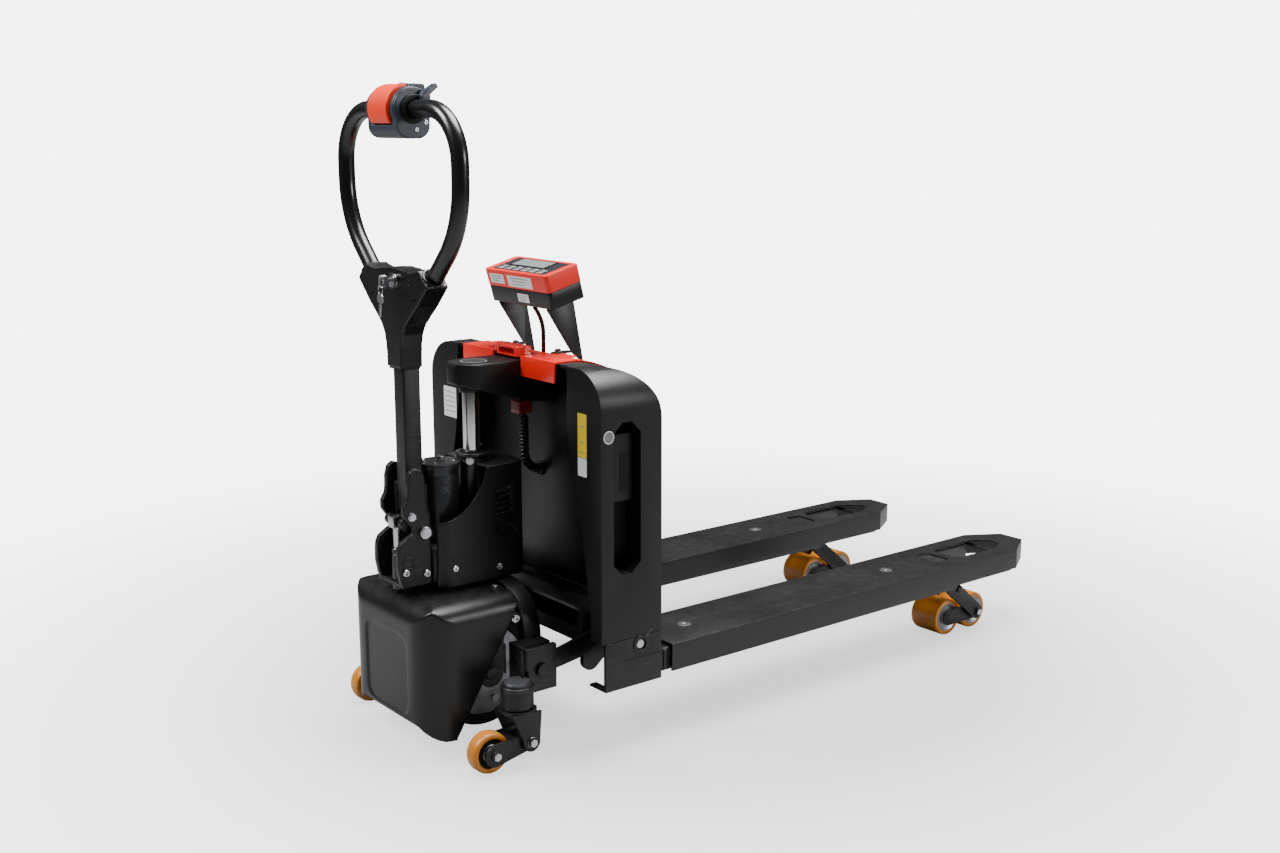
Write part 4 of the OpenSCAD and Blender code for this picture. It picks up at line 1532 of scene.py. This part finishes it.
@dataclass
class TruckBody:
    """Frame, side housings, panels, top arm and ram."""

    body: str = "fork_frame"
    pocket_depth: float = 0.045
    rod_radius: float = 0.0153

    def build(self) -> None:
        """Build the fork frame's upper part."""
        dress(shaped("chassis_frame", 0.002, 3), POWDER, self.body)
        dress(shaped("front_panel", 0.001, 3), POWDER, self.body)
        dress(shaped("battery_pack", 0.003, 2), DARK, self.body)
        for side in Side:
            self.build_housing(side)
        self.build_arm()
        self.build_ram()

    def build_housing(self, side: Side) -> None:
        """Side housing with its pocket box, badge, labels and boss.

        Args:
            side: which side.
        """
        w = side.word
        span = Span.of(f"side_housing_{w}")
        dress(shaped(f"side_housing_{w}", 0.004, 4, angle=28), HOUSING, self.body)
        face = span.high.y if side is Side.LEFT else span.low.y
        out = side.out
        pocket = Vector((span.mid.x - 0.0105, face - side.y(self.pocket_depth), span.low.z + 0.31))
        box = prism(
            f"pocket_box_{w}", rounded_rectangle(0.05, 0.12, 0.006), 0.026, axes(pocket, out, AHEAD),
            0.0025,
        )
        dress(box, HOUSING, self.body)
        slot_at = pocket + Vector((0.008, side.y(0.0255), -0.008))
        dress(
            plate(f"pocket_slot_{w}", slot_at, out, AHEAD, 0.02, 0.07, 0.0012, 0.003), DARK, self.body,
        )
        badge = Vector((span.low.x + 0.017, face - side.y(0.0003), span.low.z + 0.372))
        dress(
            ring(f"badge_ring_{w}", badge, out, 0.0115, 0.0098, 0.0006, 0.0002), LABEL_WHITE, self.body,
        )
        dress(
            lathe(
                f"badge_face_{w}", [(0, 0), (0.0098, 0), (0.0098, 0.0005), (0, 0.0005)],
                axes(badge, out),
            ),
            LABEL_GREY, self.body,
        )
        front = span.low.x + 0.0002
        if side is Side.RIGHT:
            yellow = Vector((front, -0.2255, 0.574))
            dress(
                plate("notice_yellow", yellow, BACK, (0, 1, 0), 0.026, 0.078, 0.0005, 0.002),
                LABEL_YELLOW, self.body,
            )
            dress(
                plate(
                    "notice_white", yellow - Vector((0, 0, 0.0565)), BACK, (0, 1, 0), 0.026, 0.033,
                    0.0005, 0.002,
                ),
                LABEL_WHITE, self.body,
            )
            for i, (dz, length) in enumerate(((0.016, 0.012), (-0.012, 0.014), (-0.03, 0.02))):
                spot = yellow + Vector((-0.0004, 0, dz))
                dress(
                    plate(f"notice_mark_{i}", spot, BACK, (0, 1, 0), length, 0.0016, 0.0003, 0.0006),
                    LABEL_GREY, self.body,
                )
        else:
            data = Vector((front, 0.212, 0.57))
            dress(
                plate("data_plate", data, BACK, (0, 1, 0), 0.046, 0.06, 0.0006, 0.002), LABEL_WHITE,
                self.body,
            )
            for i in range(5):
                spot = data + Vector((-0.0005, 0, 0.02 - i * 0.0095))
                dress(
                    plate(f"data_line_{i}", spot, BACK, (0, 1, 0), 0.036, 0.0014, 0.0003, 0.0005),
                    LABEL_GREY, self.body,
                )
        self.build_boss(side, face)

    def build_boss(self, side: Side, face: float) -> None:
        """Bearing boss of the cross shaft, with its slot and pin.

        Args:
            side: which side.
            face: Y of the skirt's outer face.
        """
        w, out = side.word, side.out
        shaft = Span.of("bell_cranks")
        hub = Vector((frame_joint("crank_turn").x, face - side.y(0.0003), frame_joint("crank_turn").z))
        dress(ring(f"boss_ring_{w}", hub, out, 0.0165, 0.0113, 0.0018, 0.0008), POWDER, self.body)
        pin = lathe(
            f"shaft_cap_{w}", [(0, 0), (0.0085, 0), (0.0085, 0.0012), (0.0072, 0.0022), (0, 0.0024)],
            axes(Vector((hub.x, side.y(shaft.high.y - 0.0014), hub.z)), out), 0.0004,
        )
        dress(pin, ZINC, "bell_cranks")
        slot_at = hub + Vector((0.0185, 0, 0.018))
        dress(
            plate(f"boss_slot_{w}", slot_at, out, (0.7, 0, 0.7), 0.02, 0.0055, 0.0006, 0.0027),
            CAP_GREY, self.body,
        )
        seam = hub + Vector((0.004, 0, -0.024))
        dress(
            plate(f"skirt_seam_{w}", seam, out, AHEAD, 0.092, 0.0014, 0.0005, 0.0005), DARK, self.body,
        )

    def build_arm(self) -> None:
        """Top arm with a round plate above the ram."""
        span = Span.of("top_arm")
        dress(moulded("top_arm", 0.0022, 5), HOUSING, self.body)
        ram = Span.of("ram")
        top = Vector((ram.mid.x + 0.008, 0, span.high.z - 0.0002))
        dress(ring("ram_plate_ring", top, UP, 0.0245, 0.022, 0.0006, 0.0002), LABEL_GREY, self.body)
        dress(
            lathe("ram_plate", [(0, 0), (0.022, 0), (0.022, 0.0004), (0, 0.0004)], axes(top, UP)),
            CAP_GREY, self.body,
        )

    def build_ram(self) -> None:
        """Chromed ram and its black collar."""
        span = Span.of("ram")
        rod_r = self.rod_radius
        profile = [(0, span.low.z), (rod_r, span.low.z), (rod_r, span.high.z), (0, span.high.z)]
        ram = lathe("ram_rod", profile, axes(Vector((span.mid.x, 0, 0)), UP), 0.0008, 64)
        dress(ram, CHROME, self.body)
        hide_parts("ram")
        collar = [
            (0.0156, 0.63), (0.0205, 0.63), (0.021, 0.633), (0.021, 0.6385), (0.02, 0.6402),
            (0.0156, 0.6402),
        ]
        dress(
            lathe("ram_collar", collar, axes(Vector((span.mid.x, 0, 0)), UP), 0.0006), CABLE, self.body,
        )


def frame_joint(name: str) -> Vector:
    """Return the place of a joint's axis in the frame."""
    return Vector(next(j["pos_m"] for j in frame["joints"] if j["name"] == name))


@dataclass
class LidAndIndicator:
    """Red lid, emergency handle and the weighing indicator on its brackets."""

    body: str = "fork_frame"
    tilt: float = math.radians(15)
    key_rows: int = 2
    key_columns: int = 6

    def build(self) -> None:
        """Build what sits on top of the body."""
        dress(shaped("battery_lid", 0.0018, 4, angle=24), RED, self.body)
        dress(moulded("emergency_handle", 0.0011, 5), RED, "emergency_handle")
        self.build_ribs()
        self.build_brackets()
        self.build_indicator()
        dress(shaped("indicator_cable", 0.0, 1), CABLE, self.body)

    def build_ribs(self) -> None:
        """Raised fields on the lid beside the handle."""
        lid = Span.of("battery_lid")
        for side in Side:
            outline = fillet(
                [(-0.03, -0.028), (0.034, -0.022), (0.03, 0.028), (-0.03, 0.034)], 0.01, 5, closed=True,
            )
            spot = Vector((lid.low.x + 0.04, side.y(0.1), lid.high.z - 0.0006))
            dress(
                prism(f"lid_field_{side.word}", outline, 0.0022, axes(spot, UP, AHEAD), 0.0016, 4), RED,
                self.body,
            )

    def build_brackets(self) -> None:
        """Bent indicator brackets and their screws."""
        span = Span.of("indicator_brackets")
        dress(shaped("indicator_brackets", 0.0008, 2), POWDER, self.body)
        for side in Side:
            spot = Vector((span.low.x + 0.03, side.y(0.069), 0.697))
            dress(
                hex_bolt(f"bracket_bolt_{side.word}", spot, UP, 0.0085, 0.0042, 0.0066), ZINC,
                self.body,
            )

    def build_indicator(self) -> None:
        """Indicator box with its film keypad, display, labels and seam."""
        base, cover = Span.of("indicator_base"), Span.of("indicator_cover")
        dress(shaped("indicator_base", 0.0018, 3), COVER, self.body)
        dress(shaped("indicator_cover", 0.003, 5), RED_SATIN, self.body)
        centre = (cover.mid + base.mid) / 2
        place = Matrix.Translation(
            Vector((centre.x, 0, centre.z))
        ) @ Matrix.Rotation(-self.tilt, 4, "Y")
        top = place @ Matrix.Translation((0.0005, 0, 0.0305))
        dress(
            prism("keypad_field", rounded_rectangle(0.061, 0.167, 0.004), 0.0012, top, 0.0004, 2),
            KEYPAD, self.body,
        )
        screen = top @ Matrix.Translation((0.0105, 0.004, 0.0011))
        dress(
            prism("display_frame", rounded_rectangle(0.036, 0.112, 0.003), 0.0012, screen, 0.0005, 2),
            DARK, self.body,
        )
        dress(
            prism(
                "display_face", rounded_rectangle(0.029, 0.102, 0.0015), 0.0005,
                screen @ Matrix.Translation((0, 0, 0.0011)), 0.0001, 1,
            ),
            GLASS_LCD, self.body,
        )
        for row in range(self.key_rows):
            for column in range(self.key_columns):
                y = (column - (self.key_columns - 1) / 2) * 0.025
                spot = top @ Matrix.Translation((-0.0235 + row * 0.0095, y, 0.0011))
                dress(
                    prism(
                        f"pad_key_{row}_{column}", rounded_rectangle(0.0075, 0.018, 0.002), 0.0008,
                        spot, 0.0003, 2,
                    ),
                    LABEL_GREY, self.body,
                )
                dress(
                    prism(
                        f"pad_mark_{row}_{column}", rounded_rectangle(0.0014, 0.007, 0.0005), 0.0002,
                        spot @ Matrix.Translation((0, 0, 0.0008)), 0.0, 1,
                    ),
                    KEY_PRINT, self.body,
                )
        front = place @ Matrix.Rotation(math.radians(-90), 4, "Y")
        for i, (y, up, wide, high) in enumerate(
            (
                (0.062, 0.0155, 0.046, 0.018), (-0.012, 0.0145, 0.078, 0.021),
                (-0.012, -0.0165, 0.036, 0.016),
            )
        ):
            spot = front @ Matrix.Translation((up, y, 0.0377))
            dress(
                prism(
                    f"indicator_label_{i}", rounded_rectangle(high, wide, 0.0012), 0.0005, spot, 0.0001,
                    1,
                ),
                LABEL_WHITE, self.body,
            )
            for row in range(3):
                line = spot @ Matrix.Translation(
                    (high * (0.28 - row * 0.26), wide * 0.04 * row, 0.0005)
                )
                dress(
                    prism(
                        f"label_line_{i}_{row}",
                        rounded_rectangle(high * 0.07, wide * (0.72 - row * 0.12), 0.0003), 0.0002,
                        line,
                    ),
                    LABEL_GREY, self.body,
                )
        for side in Side:
            gland = place @ Vector((0.0, side.y(0.084), -0.0305))
            dress(
                socket_screw(
                    f"indicator_foot_{side.word}", gland, place.to_3x3() @ Vector((0, 0, -1)), 0.005,
                    0.003,
                ),
                ZINC, self.body,
            )
        log.info("indicator %.0f mm wide", (cover.size.y + base.size.y) * 500)


@dataclass
class PowerLead:
    """Plug under the arm and its coiled lead."""

    cord_radius: float = 0.0031
    coil_radius: float = 0.0066
    pitch: float = 0.0068
    envelope_radius: float = 0.01
    bend: float = 0.0367
    end_length: float = 0.01
    steps_per_turn: int = 18
    body: str = "fork_frame"

    def build(self) -> None:
        """Build the plug with its ribs, and the coil."""
        plug = Span.of("lead_plug")
        dress(shaped("lead_plug", 0.0022, 3), PLUG_RED, self.body)
        for i in range(4):
            spot = Vector((plug.mid.x, plug.mid.y, plug.low.z + 0.006 + i * 0.0042))
            outline = rounded_rectangle(plug.size.x + 0.0012, plug.size.y + 0.0012, 0.003)
            dress(
                prism(f"plug_rib_{i}", outline, 0.0018, axes(spot, UP, AHEAD), 0.0006, 2), PLUG_RED,
                self.body,
            )
        self.build_coil()

    def build_coil(self) -> None:
        """Coiled lead along the envelope's centreline."""
        span = Span.of("coiled_lead")
        radius, bend = self.envelope_radius, self.bend
        x0, y = span.low.x + radius, span.mid.y
        drop = span.high.z - (span.low.z + radius + bend)
        length = drop + bend * math.pi / 2
        turns = length / self.pitch
        steps = int(turns * self.steps_per_turn)
        path = []
        for i in range(steps + 1):
            s = length * i / steps
            if s < drop:
                centre, ahead = Vector((x0, y, span.high.z - s)), Vector((0, 0, -1))
            else:
                turn = (s - drop) / bend
                hub = Vector((x0 + bend, y, span.high.z - drop))
                centre = hub + Vector((-math.cos(turn) * bend, 0, -math.sin(turn) * bend))
                ahead = Vector((math.sin(turn), 0, -math.cos(turn)))
            side = Vector((0, 1, 0))
            up = ahead.cross(side)
            spin = math.tau * s / self.pitch
            ease = min(1.0, s / self.end_length, (length - s) / self.end_length)
            path.append(
                centre + (side * math.cos(spin) + up * math.sin(spin)) * self.coil_radius * ease
            )
        coil = sweep("lead_coil", path, self.cord_radius, 10)
        dress(coil, CABLE, self.body)
        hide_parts("coiled_lead")
        panel = Span.of("front_panel")
        spot = Vector((panel.low.x + 0.0003, y, span.low.z + radius))
        dress(ring("lead_gland", spot, BACK, 0.0135, 0.0102, 0.006, 0.0015), CABLE, self.body)


# ---- forks and linkage -------------------------------------------------------------


@dataclass
class Forks:
    """Fork beams, weighing shells, load cells and screws."""

    body: str = "fork_frame"

    def build(self) -> None:
        """Build both forks."""
        dress(shaped("fork_beams", 0.0015, 2), FORK_PAINT, self.body)
        dress(shaped("load_cells", 0.001, 2), CAST, self.body)
        dress(shaped("shell_screws", 0.0006, 2), ZINC, self.body)
        for side in Side:
            dress(shaped(f"weigh_shell_{side.word}", 0.0028, 4, angle=30), FORK_PAINT, self.body)
            self.build_heel(side)

    def build_heel(self, side: Side) -> None:
        """Rubber gaiter in the gap between the body and the shell.

        Args:
            side: which side.
        """
        shell = Span.of(f"weigh_shell_{side.word}")
        beam = Span.of("fork_beams")
        outline = rounded_rectangle(shell.size.y - 0.012, 0.044, 0.008)
        spot = Vector((beam.low.x + 0.0015, shell.mid.y, shell.high.z - 0.0285))
        length = shell.low.x - spot.x - 0.0008
        place = axes(spot, AHEAD, (0, 1, 0))
        pieces = [
            prism(
                f"heel_{side.word}_{i}", [(x * s, y * s) for x, y in outline], length / 5 + 0.0006,
                place @ Matrix.Translation((0, 0, i * length / 5)), 0.0018, 2,
            )
            for i, s in enumerate((1.0, 0.975, 1.0, 0.975, 1.0))
        ]
        dress(merged(f"heel_gaiter_{side.word}", pieces), CABLE, self.body)


@dataclass
class Linkage:
    """Cross shaft, push rods, roller arms, link plates and load rollers."""

    tread: float = 0.009

    def build(self) -> None:
        """Build the lift linkage."""
        dress(shaped("bell_cranks", 0.0014, 2), POWDER, "bell_cranks")
        dress(shaped("push_rods", 0.001, 2), GREY_PAINT, "push_rods")
        for side in Side:
            w = side.word
            dress(shaped(f"roller_arm_{w}", 0.0014, 2), POWDER, f"roller_arm_{w}")
            dress(shaped(f"link_plates_{w}", 0.001, 2), POWDER, f"link_plates_{w}")
            for place in ("inner", "outer"):
                self.build_roller(f"{place}_roller_{w}")
            axle = Span.of(f"outer_roller_{w}").mid
            arm = Span.of(f"roller_arm_{w}")
            for out in (1, -1):
                spot = Vector((axle.x, axle.y + out * (arm.size.y / 2 - 0.0006), axle.z))
                pin = lathe(
                    f"axle_cap_{w}_{'a' if out > 0 else 'b'}",
                    [(0, 0), (0.0074, 0), (0.0074, 0.0008), (0.006, 0.002), (0, 0.0022)],
                    axes(spot, (0, out, 0)), 0.0003, 32,
                )
                dress(pin, ZINC, f"roller_arm_{w}")

    def build_roller(self, node: str) -> None:
        """Amber roller tread on a steel core with a sealed bearing.

        Args:
            node: the roller's CAD node and body.
        """
        span = Span.of(node)
        radius, half = span.size.z / 2, span.size.y / 2
        place = axes(span.mid, (0, 1, 0))
        core = radius - self.tread
        tread = lathe(
            f"{node}_tread",
            both_ends([(core, -half), (radius - 0.0012, -half), (radius, -half + 0.003)]), place,
            0.0012, 72,
        )
        dress(tread, AMBER, node)
        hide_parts(node)
        face = [
            (0.0082, -half + 0.001), (0.0125, -half + 0.001), (0.0135, -half + 0.004),
            (0.023, -half + 0.005), (core - 0.002, -half + 0.0015), (core, -half + 0.0002),
        ]
        dress(lathe(f"{node}_core", both_ends(face), place, 0.0008, 48), CAST, node)


# ---- studio ------------------------------------------------------------------------


@dataclass
class Studio:
    """Pale floor, soft lights and the camera."""

    eye: Vector = field(default_factory=lambda: Vector((-1.9851, -2.2881, 1.1128)))
    yaw: float = 0.901
    pitch: float = 0.202
    lens: float = 42.19
    ambient: float = 0.1
    backdrop: float = 6.0

    def build(self) -> None:
        """Set up the floor, the world, the lights and the camera."""
        self.build_floor()
        self.build_world()
        self.build_lights()
        self.build_camera()

    def build_floor(self) -> None:
        """A wide pale floor that is not part of the object."""
        bm = bmesh.new()
        bmesh.ops.create_grid(bm, x_segments=2, y_segments=2, size=14)
        floor = new_object("studio_floor", bm)
        floor.location.z = -0.0006
        paper = Finish(
            "studio_paper", "", (0.3, 0.3, 0.3), (0.34, 0.34, 0.34), (0.8, 0.9), 300.0, 0.02,
            cloud_scale=0.6, specular=0.2,
        )
        material = paper.material()
        floor.data.materials.append(material)
        self.fade_floor(material)

    def fade_floor(self, material: bpy.types.Material) -> None:
        """Let the floor melt into the backdrop away from the truck.

        Args:
            material: the floor's material.
        """
        tree = material.node_tree
        w = Wiring(tree)
        reach = w.node("ShaderNodeVectorMath", operation="LENGTH")
        w.link(w.node("ShaderNodeTexCoord").outputs["Object"], reach.inputs[0])
        seen = w.node("ShaderNodeLightPath").outputs["Is Camera Ray"]
        share = w.node("ShaderNodeMath", operation="MULTIPLY")
        w.link(w.ranged(reach.outputs["Value"], 0.6, 2.2, 0.2, 1.0), share.inputs[0])
        w.link(seen, share.inputs[1])
        glow = w.node("ShaderNodeEmission")
        glow.inputs["Strength"].default_value = self.backdrop
        mix = w.node("ShaderNodeMixShader")
        w.link(share.outputs[0], mix.inputs["Fac"])
        w.link(tree.nodes["Principled BSDF"].outputs[0], mix.inputs[1])
        w.link(glow.outputs[0], mix.inputs[2])
        w.link(mix.outputs[0], tree.nodes["Material Output"].inputs["Surface"])

    def build_world(self) -> None:
        """Even pale surroundings."""
        world = bpy.data.worlds.new("studio_world")
        world.use_nodes = True
        back = world.node_tree.nodes["Background"]
        back.inputs["Color"].default_value = (1.0, 1.0, 1.0, 1)
        w = Wiring(world.node_tree)
        seen = w.node("ShaderNodeLightPath").outputs["Is Camera Ray"]
        w.link(w.ranged(seen, 0.0, 1.0, self.ambient, self.backdrop), back.inputs["Strength"])
        bpy.context.scene.world = world

    def build_lights(self) -> None:
        """Soft boxes above, left and right."""
        target = Vector((-0.2, 0, 0.5))
        for name, spot, size, power in (
            ("key_box", Vector((-2.8, 1.2, 3.2)), 1.2, 190.0),
            ("top_box", Vector((0.6, -0.2, 4.0)), 2.4, 460.0),
            ("side_box", Vector((1.6, -3.4, 1.8)), 1.0, 60.0),
        ):
            data = bpy.data.lights.new(name, "AREA")
            data.size, data.energy = size, power
            light = bpy.data.objects.new(name, data)
            light.location = spot
            light.rotation_euler = (target - spot).to_track_quat("-Z", "Y").to_euler()
            bpy.context.scene.collection.objects.link(light)

    def build_camera(self) -> None:
        """Camera at the height and heading of a standing onlooker."""
        data = bpy.data.cameras.new("camera")
        data.lens, data.sensor_width = self.lens, 36.0
        data.clip_start, data.clip_end = 0.05, 60.0
        camera = bpy.data.objects.new("camera", data)
        ahead = Vector(
            (
                math.cos(self.yaw) * math.cos(self.pitch), math.sin(self.yaw) * math.cos(self.pitch),
                -math.sin(self.pitch),
            )
        )
        camera.location = self.eye
        camera.rotation_euler = ahead.to_track_quat("-Z", "Y").to_euler()
        bpy.context.scene.collection.objects.link(camera)
        bpy.context.scene.camera = camera


def main() -> None:
    """Build the truck in order."""
    Studio().build()
    steps: list[Callable[[], None]] = [
        DriveEnd().build,
        Caster(Side.LEFT).build,
        Caster(Side.RIGHT).build,
        PowerUnit().build,
        Tiller().build,
        ControlHead().build,
        TruckBody().build,
        LidAndIndicator().build,
        PowerLead().build,
        Forks().build,
        Linkage().build,
    ]
    for step in steps:
        step()


if __name__ == "__main__":
    main()
